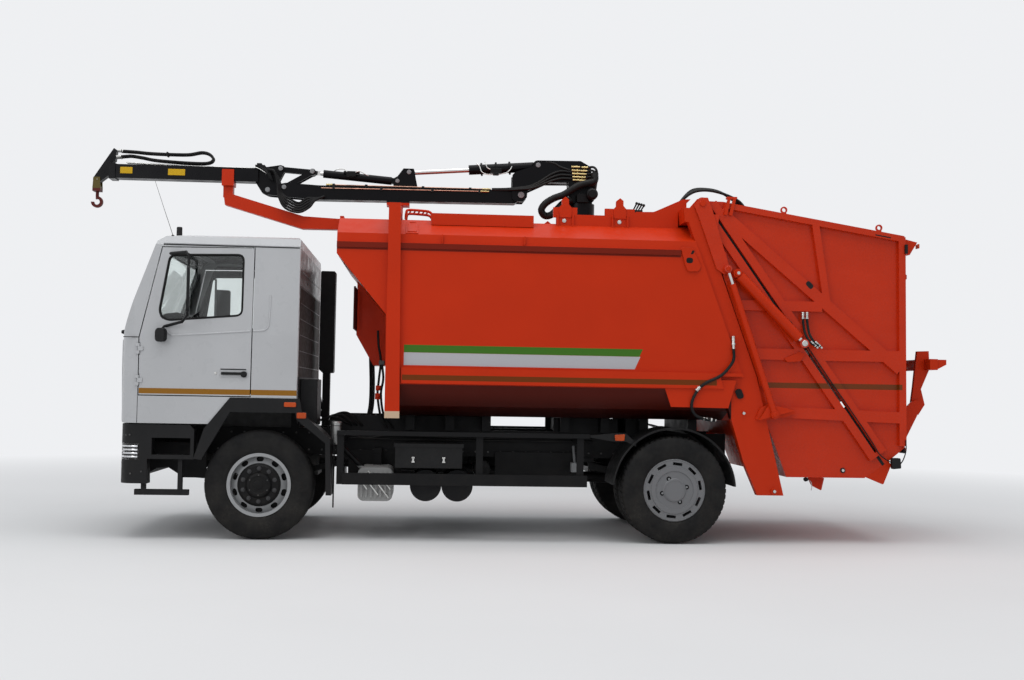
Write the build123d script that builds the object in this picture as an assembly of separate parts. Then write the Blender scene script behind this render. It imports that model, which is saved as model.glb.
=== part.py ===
from build123d import *
import math
import os

# Garbage truck: a rear loader whose tailgate lifts, with a loading crane carried on the roof.
# Millimetres, +Z up. Lengths run rearwards (+X) from the front axle, heights from the ground,
# and -Y is the driver's side. The finished pieces are moved at the end so that the origin lies
# on the ground at the middle of the whole length.

# Running gear
WHEELBASE = 4000
TYRE_R = 522
BEAD_R = 286.3
RIM_R = 286
RIM_WALL = 14
FRONT_TYRE_W = 295
FRONT_TYRE_IN = 885
TWIN_TYRE_W = 275
TWIN_GAP = 40
TWIN_IN = 645
FRONT_DISC_BACK = 38
TWIN_DISC = 12
KINGPIN_Y = 838
BOSS_HALF = 59
ARM_X = 160
ARM_Y = 795
TIE_Z = 405

# Chassis frame
RAIL_OUT = 432
RAIL_TOP = 1050
RAIL_H = 270
RAIL_FLANGE = 80
RAIL_WALL = 8
RAIL_FRONT = -1120
RAIL_REAR = WHEELBASE + 690
BODY_FLOOR = 1200

# Cab
CAB_HALF = 1235
CAB_ROOF_HALF = 1192
CAB_REAR = 343
CAB_WALL = 45
CAB_BOTTOM = 1097
DOOR_BOTTOM = 1365
DOOR_GAP = 10
DOOR_PIN = (-1143, 1238)
GLASS = 6
CAB_FLOOR = 1350
SEAT = 0.3
HINGE_PIN_R = 4
HINGE_BARREL_R = 9
HINGE_LEVELS = [1500, 1800]
HINGE_KNUCKLE = 40

# Body
WALL = 30
BODY_HALF = 1225
BODY_FRONT = 690
BODY_TOP = 3180
PORTAL_HALF = BODY_HALF + 50
PORTAL_TOP = BODY_TOP + 69
RAIL_STEP = 25

# Tailgate
HINGE = (4250, 3335)
GATE_HALF = 1120
GATE_RIB = 45
GATE_OUT = GATE_HALF + GATE_RIB
GATE_WALL = 30
POST_IN = GATE_HALF - 20
POST_OUT = GATE_HALF + 70
ARM_IN = POST_OUT + 6
ARM_OUT = ARM_IN + 16
LIFT_Y = ARM_OUT + 33
LIFT_R = 30
LIFT_FOOT = (4977, 1272)
LIFT_EYE = (4498, 2690)
PACK_Y = GATE_OUT + 57
PACK_R = 50
PACK_TOP = (4600, 2650)
PACK_PIN = (5273, 1975)
SLOT_ANGLE = 54.6
SLOT_W = 36
SLIDE = 700
BLADE_DROP = 110
BLADE_R = 600
CHEEK = 30
LIFTER_PIN = (6555, 1392)
LIFTER_Y = GATE_HALF - 320

# Crane
SLEW_X = 3190
BOOM_PIN = (2542, 3543)
KNUCKLE = (-127, 3526)
LINK_FOOT = (42, 3559)
LINK_TOP = (334, 3732)
JIB_PIN = (3, 3754)
MAIN_FOOT = (2719, 3868)
MAIN_EYE = (1349, 3761)
JIB_FOOT = (1228, 3663)
JIB_TIP = -1773
HOOK_PIN = (-1895, 3590)
BOOM_HALF = 75
CHEEK_LEVEL = 58.4
JIB_HALF = 75

# The whole length, from the jib's tip to the bin lifter
FRONT_END = -1935
REAR_END = 6815
X_MID = (FRONT_END + REAR_END) / 2


def box(x0, x1, y0, y1, z0, z1):
    """Block between two corners."""
    return Pos((x0 + x1) / 2, (y0 + y1) / 2, (z0 + z1) / 2) * Box(x1 - x0, y1 - y0, z1 - z0)


def plate(points, y0, y1, radius=0):
    """Side outline of (x, z) points, from y0 to y1, with its corners rounded."""
    face = make_face(Polyline(*points, close=True))
    if radius:
        face = fillet(face.vertices(), radius)
    return extrude(Plane.XZ.offset(-y0) * face, amount=y0 - y1)


def section(points, x0, x1):
    """Cross outline of (y, z) points, from x0 to x1."""
    face = make_face(Polyline(*points, close=True))
    return extrude(Plane.YZ.offset(x0) * face, amount=x1 - x0)


def both_halves(points):
    """Closes a half outline of (y, z) points, given from the middle bottom to the middle top."""
    return points + [(-y, z) for y, z in reversed(points) if y]


def plan(points, z0, z1, radius=0):
    """Top outline of (x, y) points, from z0 to z1."""
    face = make_face(Polyline(*points, close=True))
    if radius:
        face = fillet(face.vertices(), radius)
    return extrude(Plane.XY.offset(z0) * face, amount=z1 - z0)


def rod(p, q, radius):
    """Round bar between two points."""
    p = Vector(*p)
    q = Vector(*q)
    return extrude(Plane(origin=p, z_dir=q - p) * Circle(radius), amount=(q - p).length)


def drum(at, y0, y1, radius):
    """Round bar across the truck through an (x, z) point."""
    return rod((at[0], y0, at[1]), (at[0], y1, at[1]), radius)


def strip(p, q, width, y0, y1, extra=0):
    """Flat bar along the side-view line from p to q, made longer by extra at both ends."""
    length = math.dist(p, q)
    ux = (q[0] - p[0]) / length
    uz = (q[1] - p[1]) / length
    nx = -uz * width / 2
    nz = ux * width / 2
    a = (p[0] - ux * extra, p[1] - uz * extra)
    b = (q[0] + ux * extra, q[1] + uz * extra)
    return plate(
        [(a[0] + nx, a[1] + nz), (b[0] + nx, b[1] + nz), (b[0] - nx, b[1] - nz), (a[0] - nx, a[1] - nz)],
        y0,
        y1,
    )


def along(p, q, distance):
    """The point of the line from p to q that lies this far from p."""
    length = math.dist(p, q)
    return (p[0] + (q[0] - p[0]) * distance / length, p[1] + (q[1] - p[1]) * distance / length)


def ring(at, y0, y1, outer, inner):
    """Round ring across the truck."""
    return drum(at, y0, y1, outer) - drum(at, y0 - 1, y1 + 1, inner)


def mirrored(shape):
    """The same piece on the other side of the truck."""
    return mirror(shape, about=Plane.XZ)


def pair(shape):
    """The piece on both sides of the truck."""
    return shape + mirrored(shape)


def arc_strip(centre, radius, wall, a0, a1, y0, y1):
    """Part of a ring seen from the side, from angle a0 to a1 in degrees, rearwards being 0."""
    def point(r, a):
        return (centre[0] + r * math.cos(math.radians(a)), centre[1] + r * math.sin(math.radians(a)))

    mid = (a0 + a1) / 2
    inner = ThreePointArc(point(radius, a0), point(radius, mid), point(radius, a1))
    outer = ThreePointArc(point(radius + wall, a0), point(radius + wall, mid), point(radius + wall, a1))
    ends = [Line(inner @ 0, outer @ 0), Line(inner @ 1, outer @ 1)]
    face = make_face([inner, outer] + ends)
    return extrude(Plane.XZ.offset(-y0) * face, amount=y0 - y1)


# Wheels

def turned(profile, x, z, y_in, side):
    """Revolves (across, radius) points about a wheel's axle. across runs outwards from y_in."""
    face = make_face(Polyline(*profile, close=True))
    solid = revolve(Plane.XY * face, Axis.X)
    turn = Pos(x, side * y_in, z) * Rot(0, 0, 90 * side)
    return turn * solid


def tyre(x, side, y_in, width):
    """Tyre with flat tread, round-shouldered walls and an open inside."""
    outer = [(25, BEAD_R), (0, 405), (16, 496), (56, TYRE_R)]
    inner = [(46, BEAD_R), (46, 492)]
    profile = outer + [(width - t, r) for t, r in reversed(outer)]
    profile += [(width - t, r) for t, r in inner]
    profile += list(reversed(inner))
    return turned(profile, x, TYRE_R, y_in, side)


def front_rim(side):
    """Rim whose disc is dished outwards, with ten hand holes and a hub cap."""
    w = FRONT_TYRE_W
    inner = RIM_R - RIM_WALL
    barrel = [(12, inner), (12, 303), (19, 303), (19, RIM_R), (w - 19, RIM_R), (w - 19, 303), (w - 12, 303)]
    disc = [(w - 12, inner), (w - 96, inner), (w - 25, 176), (w - 25, 92), (w + 4, 80), (w + 4, 0)]
    back = [(w - FRONT_DISC_BACK, 0), (w - FRONT_DISC_BACK, 170), (w - 112, inner)]
    rim = turned(barrel + disc + back, 0, TYRE_R, FRONT_TYRE_IN, side)
    hole = Pos(0, 0, 243) * extrude(Plane.XZ * SlotCenterToCenter(24, 46), amount=200, both=True)
    centre = Pos(0, side * (FRONT_TYRE_IN + w - 60), TYRE_R)
    for i in range(10):
        rim -= centre * Rot(0, i * 36, 0) * hole
    return rim


def rear_rim(side):
    """Two rims on one hub, closed by a flat cover with a raised ring and ten slots round its edge."""
    w = 2 * TWIN_TYRE_W + TWIN_GAP
    inner = RIM_R - RIM_WALL
    barrel = [(12, inner), (12, 303), (19, 303), (19, RIM_R)]
    barrel += [(TWIN_TYRE_W - 19, RIM_R), (TWIN_TYRE_W - 19, 303), (TWIN_TYRE_W - 12, 303)]
    barrel += [(TWIN_TYRE_W - 12, RIM_R), (w - TWIN_TYRE_W + 12, RIM_R), (w - TWIN_TYRE_W + 12, 303)]
    barrel += [(w - TWIN_TYRE_W + 19, 303), (w - TWIN_TYRE_W + 19, RIM_R), (w - 19, RIM_R)]
    barrel += [(w - 19, 303), (w - 14, 296)]
    cover = [(w - 14, 230), (w - 6, 226), (w - 6, 187), (w - 14, 183), (w - 14, 118), (w - 2, 106), (w - 2, 0)]
    back = [(w / 2 - TWIN_DISC, 0), (w / 2 - TWIN_DISC, inner)]
    rim = turned(barrel + cover + back, WHEELBASE, TYRE_R, TWIN_IN, side)
    room = [(w / 2 + TWIN_DISC, 95), (w / 2 + TWIN_DISC, inner), (w - 28, inner), (w - 28, 95)]
    rim -= turned(room, WHEELBASE, TYRE_R, TWIN_IN, side)
    slot = Pos(0, side * (TWIN_IN + w - 20), 256) * Box(92, 30, 28)
    for i in range(10):
        rim -= Pos(WHEELBASE, 0, TYRE_R) * Rot(0, 6.6 + i * 36, 0) * slot
    return rim


def knuckle(side):
    """Stub axle: two ears round the axle's end, the brake drum and the steering arm."""
    ear = Pos(0, KINGPIN_Y, TYRE_R) * Cylinder(44, 200)
    ear -= Pos(0, KINGPIN_Y, TYRE_R) * Cylinder(60, 2 * BOSS_HALF + 0.8)
    ear += Pos(0, KINGPIN_Y, TYRE_R) * Cylinder(20, 190)
    ear += box(-44, 44, 884, 900, TYRE_R - 100, TYRE_R + 100)
    for z in (TYRE_R + BOSS_HALF + 0.4, TYRE_R - 100):
        ear += box(-44, 44, KINGPIN_Y, 885, z, z + 99.6 - BOSS_HALF)
    ear += drum((0, TYRE_R), 899, 1020, 195)
    ear += drum((0, TYRE_R), 1019, FRONT_TYRE_IN + FRONT_TYRE_W - FRONT_DISC_BACK - SEAT, 80)
    ear += plan([(-30, KINGPIN_Y - 20), (ARM_X, ARM_Y - 30), (ARM_X, ARM_Y + 30), (30, KINGPIN_Y + 20)], TIE_Z + 22, TYRE_R - 90)
    ear += Pos(ARM_X, ARM_Y, TIE_Z + 27) * Cylinder(30, 54 - 18)
    return ear if side > 0 else mirrored(ear)


def tie_rod():
    """Bar that joins the two steering arms behind the axle."""
    bar = rod((ARM_X, -ARM_Y, TIE_Z - 12), (ARM_X, ARM_Y, TIE_Z - 12), 16)
    eye_top = TIE_Z + 9 - SEAT
    return bar + pair(Pos(ARM_X, ARM_Y, eye_top - 20) * Cylinder(26, 40))


def front_axle():
    """Dropped beam with an eye at each end, and the leaf springs."""
    outline = both_halves([(0, 395), (560, 395), (700, 470), (790, 470), (790, 570), (640, 570), (520, 490), (0, 490)])
    beam = section(outline, -45, 45)
    beam += pair(Pos(0, KINGPIN_Y, TYRE_R) * Cylinder(44, 2 * BOSS_HALF))
    beam += pair(box(-45, 45, 780, KINGPIN_Y, 478, 566))
    beam -= pair(Pos(0, KINGPIN_Y, TYRE_R) * Cylinder(20.3, 130))
    spring = leaf_spring(0, 760, 630, 55, 90)
    spring += box(-70, 70, 385, 475, 485, 580)
    return beam + pair(spring)


def leaf_spring(x, half, low, thick, width):
    """Spring pack that sags from its two eyes to its middle."""
    eye = 742
    lower = ThreePointArc((x - half, eye - thick), (x, low - thick), (x + half, eye - thick))
    upper = ThreePointArc((x - half, eye), (x, low), (x + half, eye))
    face = make_face([lower, upper, Line(lower @ 0, upper @ 0), Line(lower @ 1, upper @ 1)])
    y0 = RAIL_OUT - width / 2
    return extrude(Plane.XZ.offset(-y0) * face, amount=-width)


def rear_axle():
    """Banjo axle with its springs and the shaft that drives it."""
    axle = drum((WHEELBASE, TYRE_R), -900, 900, 85)
    axle += drum((WHEELBASE, TYRE_R), -900, -760, 200) + drum((WHEELBASE, TYRE_R), 760, 900, 200)
    hub_end = TWIN_IN + TWIN_TYRE_W + TWIN_GAP / 2 - TWIN_DISC - SEAT
    axle += drum((WHEELBASE, TYRE_R), -hub_end, hub_end, 90)
    axle += Pos(WHEELBASE, 0, TYRE_R) * Sphere(205)
    axle += rod((WHEELBASE - 330, 0, TYRE_R + 20), (WHEELBASE, 0, TYRE_R), 90)
    axle += pair(leaf_spring(WHEELBASE, 740, 640, 70, 90) + box(WHEELBASE - 75, WHEELBASE + 75, 387, 477, 570, 600))
    axle += rod((484, 0, 700), (WHEELBASE - 300, 0, TYRE_R + 20), 55)
    return axle


# Chassis

def frame():
    """Two channel rails, their cross members, the spring hangers and the body's bearers."""
    web = box(RAIL_FRONT, RAIL_REAR, RAIL_OUT - RAIL_WALL, RAIL_OUT, RAIL_TOP - RAIL_H, RAIL_TOP)
    rails = web
    for z in (RAIL_TOP - RAIL_WALL, RAIL_TOP - RAIL_H):
        rails += box(RAIL_FRONT, RAIL_REAR, RAIL_OUT - RAIL_FLANGE, RAIL_OUT, z, z + RAIL_WALL)
    for x in (-760, 760, WHEELBASE - 740, WHEELBASE + 640):
        rails += box(x - 50, x + 50, RAIL_OUT - 40, RAIL_OUT + 40, 742.3, RAIL_TOP - RAIL_H + 1)
    frame_part = pair(rails)
    for x in (-1090, 620, 1150, 2080, 2700, 3420, 4660):
        frame_part += box(x - 30, x + 30, -RAIL_OUT + 4, RAIL_OUT - 4, RAIL_TOP - 200, RAIL_TOP - 70)
    for x in (1420, 1820, 2190, 2990, 3400, 3800, 4300):
        frame_part += box(x - 45, x + 45, -620, 620, RAIL_TOP - 1, BODY_FLOOR)
    for x in (-1000, 260):
        frame_part += pair(box(x - 40, x + 40, 380, 470, RAIL_TOP - 1, CAB_FLOOR - SEAT))
    frame_part += pair(box(-1300 + SEAT, -1000, 420, 520, 760, 960))
    return frame_part


def engine():
    """The engine and gearbox, as one plain mass at its real place and size."""
    block = box(-820, 330, -330, 330, 660, 1290)
    block += box(329, 479, -230, 230, 560, 960)
    block += pair(box(-560, -480, 329, RAIL_OUT - RAIL_WALL - SEAT, 800, 860))
    return block + pair(box(390, 450, 229, RAIL_OUT - RAIL_WALL - SEAT, 800, 850))


def air_tanks():
    """Two air tanks across the truck and the fuel tank on the far side."""
    tanks = None
    for x in (1587, 1893):
        tank = rod((x, -1050, 526), (x, -470, 526), 152)
        tank += box(x - 20, x + 20, -620, -500, 640, 800) + box(x - 20, x + 20, -560, -RAIL_OUT - 0.3, 780, 810)
        tanks = tank if tanks is None else tanks + tank
    return tanks


def fuel_tank():
    """Fuel tank with rounded corners on the far side, on two brackets."""
    tank = plate([(1250, 430), (2450, 430), (2450, 930), (1250, 930)], 560, 1140, 90)
    for x in (1450, 2250):
        tank += box(x - 40, x + 40, RAIL_OUT + 0.3, 600, 800, 900)
    return tank


def battery_box():
    """Battery box under the side guard's top bar."""
    case = box(1288, 1936, -1130, -640, 700, 928)
    lid = box(1276, 1948, -1140, -630, 900, 935)
    return case + lid + box(1500, 1720, -640, -RAIL_OUT - 0.3, 820, 900)


def exhaust():
    """Silencer under the driver's side with its ribbed outer plate."""
    can = plate([(930, 368), (1267, 368), (1267, 692), (930, 692)], -1020, -480, 60)
    for i in range(7):
        x = 955 + i * 46
        can += box(x, x + 22, -1032, -1019, 400, 660)
    can += box(1060, 1140, -600, -500, 690, 800) + box(1060, 1140, -560, -RAIL_OUT - 0.3, 780, 860)
    can += Pos(700, -790, 1003) * Cylinder(52, 168) + Pos(700, -790, 1100) * Cylinder(60, 30)
    can += box(680, 740, -780, -RAIL_OUT - 0.3, 930, 990)
    can += rod((700, -790, 930), (1000, -790, 640), 28)
    return can


def air_intake():
    """Air duct behind the cab, with its grille at the top and its pipe to the engine."""
    duct = plate([(400, 1660), (440, 1621), (560, 1621), (560, 2740), (400, 2740)], 520, 700, 18)
    duct += box(440, 520, 560, 660, 1000, 1640)
    for i in range(9):
        z = 2380 + i * 36
        duct -= box(390, 412, 535, 685, z, z + 18)
    return duct + box(440, 520, RAIL_OUT + 0.3, 600, 960, 1020)


def side_guards():
    """Rails between the axles on both sides, on brackets from the frame."""
    guard = box(733, 3166, 1180, 1215, 1010, 1052)
    guard += box(787, 3145, 1180, 1215, 540, 650)
    for x in (766, 2100, 3080):
        guard += box(x - 33, x + 33, 1150, 1181, 540, 1052)
        guard += box(x + 8, x + 31, RAIL_OUT + 0.3, 1160, 940, 1000)
    return pair(guard)


def mudguards():
    """Front arch trims with their liners, and the arc over each pair of rear wheels."""
    inner = [(640, 436), (625, 930), (350, 1150), (336, 1213), (-276, 1213), (-537, 758)]
    trim = plate(ARCH_TRIM + inner, 1205, 1245)
    liner = plate([(655, 436), (690, 436), (668, 970), (396, 1213), (360, 1200), (636, 960)], 875, 1225)
    rear = arc_strip((WHEELBASE, TYRE_R), 590, 12, 4, 176, 640, 1225)
    rear += box(WHEELBASE - 25, WHEELBASE + 25, RAIL_OUT + 0.3, 470, 1000, 1123)
    rear += box(WHEELBASE - 25, WHEELBASE + 25, 470, 641, 1095, 1123)
    return pair(trim + liner) + pair(rear)


# Cab

def cab_block(inset):
    """The cab's outer form, or the same form inset by a wall: side, front and top outlines crossed."""
    side = [(-1300, CAB_BOTTOM), (-1375, 1224), (-1392, 1648), (-1325, 1925), (-1010, 2835), (-915, 2902),
            (-600, 2935), (300, 2928), (CAB_REAR, 2880), (CAB_REAR, CAB_BOTTOM)]
    front = both_halves([(0, CAB_BOTTOM), (CAB_HALF, CAB_BOTTOM), (CAB_HALF, 1950), (CAB_ROOF_HALF, 2800),
                         (CAB_ROOF_HALF - 60, 2885), (900, 2925), (0, 2945)])
    top = [(CAB_REAR, CAB_HALF), (-1300, CAB_HALF), (-1392, 560), (-1392, -560), (-1300, -CAB_HALF),
           (CAB_REAR, -CAB_HALF)]
    side_face = make_face(Polyline(*side, close=True))
    front_face = make_face(Polyline(*front, close=True))
    top_face = make_face(Polyline(*top, close=True))
    top_face = fillet(top_face.vertices().sort_by(Axis.X)[:4], 190)
    if inset:
        side_face = offset(side_face, amount=-inset, kind=Kind.INTERSECTION)
        front_face = offset(front_face, amount=-inset, kind=Kind.INTERSECTION)
        top_face = offset(top_face, amount=-inset, kind=Kind.INTERSECTION)
    block = extrude(Plane.XZ.offset(2000) * side_face, amount=-4000)
    block &= extrude(Plane.YZ.offset(-2000) * front_face, amount=4000)
    block &= extrude(Plane.XY.offset(500) * top_face, amount=3000)
    return block


DOOR_OUTLINE = [(-955, 2770), (-1140, 1905), (-1135, DOOR_BOTTOM), (-97, DOOR_BOTTOM), (-92, 2780)]
WINDOW_OUTLINE = [(-885, 2700), (-970, 2135), (-905, 2070), (-190, 2132), (-190, 2715)]
ARCH_TRIM = [(-608, 768), (-515, 1055), (-280, 1350), (375, 1350), (400, 1213), (668, 970), (690, 436)]


def cab_shell():
    """Hollow cab with its floor, the windscreen's opening, the door openings and the wheel arch."""
    cab = cab_block(0)
    room = cab_block(CAB_WALL) & box(-2000, 2000, -2000, 2000, 1400, 4000)
    under = box(-1230, CAB_REAR + 10, -1150, 1150, 1000, CAB_FLOOR)
    cab = cab - room - under
    arch = make_face(Polyline(*(ARCH_TRIM + [(0, 436)]), close=True))
    cab -= extrude(Plane.XZ.offset(1500) * offset(arch, amount=0.5, kind=Kind.INTERSECTION), amount=-3000)
    cab -= extrude(Plane.YZ.offset(-1500) * screen_outline(0), amount=560)
    opening = offset(make_face(Polyline(*DOOR_OUTLINE, close=True)), amount=DOOR_GAP, kind=Kind.INTERSECTION)
    cab -= extrude(Plane.XZ.offset(1500) * opening, amount=-3000)
    cab -= pair(box(-1146, -1140, CAB_HALF - 8, CAB_HALF + 60, CAB_BOTTOM - 5, DOOR_BOTTOM))
    x, y = DOOR_PIN
    for z in HINGE_LEVELS:
        half = HINGE_KNUCKLE / 2
        cab -= pair(Pos(x, y, z) * Cylinder(HINGE_BARREL_R + 5, HINGE_KNUCKLE + 10))
        for low in (z + half + SEAT, z - 2 * half - 10):
            high = low + half + 10 - SEAT
            leaf = box(x - 30, x, y - 12, y + HINGE_BARREL_R, low, high)
            leaf += Pos(x, y, (low + high) / 2) * Cylinder(HINGE_BARREL_R, high - low)
            cab += pair(leaf)
        cab += pair(Pos(x, y, z) * Cylinder(HINGE_PIN_R, HINGE_KNUCKLE + 20))
    return cab


def screen_outline(inset):
    """The windscreen's outline seen from the front, made smaller by a gap."""
    face = make_face(Polyline(*[(-1085, 2010), (1085, 2010), (1020, 2765), (-1020, 2765)], close=True))
    face = fillet(face.vertices(), 70)
    return offset(face, amount=-inset) if inset else face


def windscreen():
    """Glass pane filling the front opening, following the cab's curve."""
    pane = cab_block(12) - cab_block(12 + GLASS)
    return pane & extrude(Plane.YZ.offset(-1500) * screen_outline(SEAT), amount=560)


def door(side):
    """Door as thick as the cab's wall, with its window cut and its handle."""
    skin = (cab_block(0) - cab_block(CAB_WALL)) & plate(DOOR_OUTLINE, 900, 1400)
    window = make_face(Polyline(*WINDOW_OUTLINE, close=True))
    window = fillet(window.vertices(), 40)
    skin -= extrude(Plane.XZ.offset(-900) * window, amount=-500)
    x, y = DOOR_PIN
    for z in HINGE_LEVELS:
        half = HINGE_KNUCKLE / 2
        skin -= Pos(x, y, z) * Cylinder(HINGE_BARREL_R + 5, 3 * HINGE_KNUCKLE)
        leaf = box(x, x + 40, y - 14, y + HINGE_BARREL_R, z - half, z + half)
        leaf += Pos(x, y, z) * Cylinder(HINGE_BARREL_R, HINGE_KNUCKLE)
        skin += leaf - Pos(x, y, z) * Cylinder(HINGE_PIN_R + SEAT, HINGE_KNUCKLE + 2)
    return skin if side > 0 else mirrored(skin)


def door_glass(side):
    """Side window in the middle of the door's thickness."""
    window = make_face(Polyline(*WINDOW_OUTLINE, close=True))
    window = fillet(window.vertices(), 40)
    pane = (cab_block(14) - cab_block(14 + GLASS)) & extrude(Plane.XZ.offset(-900) * window, amount=-500)
    pane = pane & box(-2000, 2000, 900, 1400, 1000, 3000)
    return pane if side > 0 else mirrored(pane)


# Mirrors: tube (x, y), head's middle along the tube's side, turn of the head in degrees
MIRROR_Y = 1390
MIRROR_HEADS = {-1: (-672, -672, 80), 1: (-880, -795, 40)}


def mirror_set(side):
    """Flat mirror on its bent tube, the small lower mirror and the door's handle."""
    tube_x, head_x, turn = MIRROR_HEADS[side]
    head = Pos(head_x, MIRROR_Y, 2360) * Rot(0, 0, turn) * fillet(Box(185, 28, 420).edges().filter_by(Axis.Y), 24)
    top = rod((-890, 1180, 2712), (tube_x - 30, MIRROR_Y - 30, 2712), 15)
    top += rod((tube_x - 40, MIRROR_Y - 40, 2714), (tube_x, MIRROR_Y, 2685), 12)
    tube = rod((tube_x, MIRROR_Y, 2692), (tube_x, MIRROR_Y, 2110), 12)
    low = rod((tube_x, MIRROR_Y, 2116), (tube_x - 60, MIRROR_Y - 60, 2050), 12)
    low += rod((tube_x - 54, MIRROR_Y - 54, 2056), (-930, 1215, 2010), 14)
    brace = rod((tube_x, MIRROR_Y, 2360), (head_x, MIRROR_Y, 2360), 12) if tube_x != head_x else None
    pod = Pos(-930, 1290, 1930) * Rot(0, 0, 30) * fillet(Box(110, 44, 130).edges().filter_by(Axis.Y), 40)
    pod += rod((-930, 1290, 1975), (-920, 1225, 2012), 10)
    arms = head + top + tube + low + pod
    arms = arms + brace if brace else arms
    shape = arms - cab_block(-SEAT)
    grip = box(-368, -150, CAB_HALF + SEAT, CAB_HALF + 22, 1565, 1591)
    grip += drum((-160, 1572), CAB_HALF + SEAT, CAB_HALF + 22, 27)
    whole = Part() + [shape, grip]
    return whole if side > 0 else mirrored(whole)


def cab_interior():
    """Dashboard with the steering wheel, and the two seats."""
    dash = plate([(-1200, 1400.3), (-1010, 1400.3), (-960, 1700), (-900, 1890), (-1000, 1990), (-1220, 1960)],
                 -1040, 1040, 25)
    column = rod((-1000, -560, 1880), (-830, -560, 2020), 32)
    wheel = Pos(-830, -560, 2020) * Rot(0, -50, 0) * Torus(215, 15)
    spoke = Pos(-830, -560, 2020) * Rot(0, -50, 0) * Box(36, 420, 14)
    hub = Pos(-830, -560, 2020) * Rot(0, -50, 0) * Cylinder(48, 50)
    seats = None
    for y in (-560, 560):
        seat = box(-520, 0, y - 250, y + 250, 1700, 1830) + box(-400, -60, y - 180, y + 180, 1400.3, 1705)
        back = plate([(-60, 1800), (40, 1800), (190, 2480), (110, 2490)], y - 240, y + 240, 20)
        seats = seat + back if seats is None else seats + seat + back
    return dash + column + wheel + spoke + hub + seats


# Pocket of each headlamp in the bumper
LAMP_LEVELS = (750, 906)
LAMP_IN = 850
LAMP_BACK = -1122


def bumper():
    """Bumper that wraps round the cab's corners, with its foot bar, the steps and the grille."""
    side = [(-1345, 1085), (-1400, 1000), (-1415, 641), (-1340, 528), (-1034, 528), (-1040, 760), (-608, 760),
            (-608, 1040), (-650, 1085)]
    block = plate(side, -1230, 1230)
    block &= bumper_form()
    block -= box(-1300, -500, -700, 700, 400, 1200) - box(-1300, -1250, -1300, 1300, 400, 1200)
    block -= pair(box(-1460, LAMP_BACK, LAMP_IN, 1300, *LAMP_LEVELS))
    block -= pair(box(-1000, -640, 1080, 1300, 800, 960))
    block -= box(-1300, -600, -1090, 1090, 400, 1200)
    foot = pair(box(-1161, -657, 1120, 1180, 417, 470) + box(-1100, -1060, 1120, 1180, 460, 530)
                + box(-760, -720, 1120, 1180, 460, 765))
    return Part() + [block, foot, grille()]


def grille():
    """Black grille on the cab's front, with its row of openings."""
    outline = [(-900, 1130), (900, 1130), (1010, 1650), (1010, 1890), (-1010, 1890), (-1010, 1650)]
    face = make_face(Polyline(*outline, close=True))
    face = fillet(face.vertices(), 40)
    panel = (cab_block(-16) - cab_block(-SEAT)) & extrude(Plane.YZ.offset(-1500) * face, amount=400)
    for i in range(6):
        z = 1200 + i * 90
        panel -= box(-1500, -1200, -820, 820, z, z + 56)
    return panel


def lamps():
    """Headlamps in the bumper and the amber lamps on the sides."""
    low, high = LAMP_LEVELS
    return pair(box(-1395, LAMP_BACK - SEAT, LAMP_IN + SEAT, 1222, low + SEAT, high - SEAT) & bumper_form())


def bumper_form():
    """The bumper's solid outline, for what sits flush in it."""
    top = [(-600, 1230), (-1280, 1230), (-1415, 500), (-1415, -500), (-1280, -1230), (-600, -1230)]
    form = make_face(Polyline(*top, close=True))
    form = fillet(form.vertices().sort_by(Axis.X)[:4], 150)
    return extrude(Plane.XY.offset(400) * form, amount=800)


# Body

BODY_SECTION = [(0, BODY_FLOOR), (BODY_HALF - 435, BODY_FLOOR), (BODY_HALF - 145, BODY_FLOOR + 100),
                (BODY_HALF - 5, 1500), (BODY_HALF, 2300), (BODY_HALF - 6, 2813), (BODY_HALF - 25, BODY_TOP - 223),
                (BODY_HALF - 335, BODY_TOP - 44), (0, BODY_TOP)]
RAIL_LEVELS = (1515, 1668)
LEDGE_LEVELS = (2813, 2868)
LEDGE_OUT = BODY_HALF + 9
SEAL = [(4215, 3290), (4810, 1640), (5088, 480)]


def body_form(inset, side_points):
    """The body's cross section crossed with a side outline."""
    face = make_face(Polyline(*both_halves(BODY_SECTION), close=True))
    if inset:
        face = offset(face, amount=-inset, kind=Kind.INTERSECTION)
    block = extrude(Plane.YZ.offset(500) * face, amount=5000)
    return block & plate(side_points, -1400, 1400)


def body_shell():
    """Load box: barrelled walls, faceted roof, sloped front and open rear."""
    rear = [(4915, 1100), (4810, 1640), (4160, 3440)]
    outer = [(BODY_FRONT, 3440), (BODY_FRONT, 2754), (1172, 2177), (1190, 1100)] + rear
    inner = [(BODY_FRONT + 40, 3440), (BODY_FRONT + 40, 2772), (1212, 2192), (1230, 1100), (5200, 1100), (5200, 3440)]
    shell = body_form(0, outer) - body_form(WALL, inner)
    low, high = RAIL_LEVELS
    inside = BODY_HALF - RAIL_STEP
    rail = plate([(1330, low), (4722, low), (4700, high), (1330, high)], inside, BODY_HALF + RAIL_STEP)
    shell += pair(rail + box(BODY_FRONT, 4036, inside, LEDGE_OUT, *LEDGE_LEVELS))
    housing = plate([(842, 2700), (842, 2012), (1024, 1699), (1190, 1699), (1190, 2400), (1000, 2700)], -260, 260)
    shell += housing - body_form(WALL, inner)
    shell += pair(box(1593, 2603, 800, 1000, BODY_TOP - 100, BODY_TOP + 16)) - body_form(WALL, inner)
    shell -= post_outline(POST_IN - 1, POST_OUT + 200)
    shell -= box(4040, 4300, -1300, 1300, BODY_TOP - WALL, BODY_TOP + 220)
    return shell


def post_outline(y0, y1):
    """Both slanted rear posts between two distances from the middle."""
    front = [(4827, 480), (4682, 814), (4529, 1324), (4434, 1636), (4665, 1636), (4065, 3290)]
    return pair(plate(SEAL + front, y0, y1))


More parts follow.
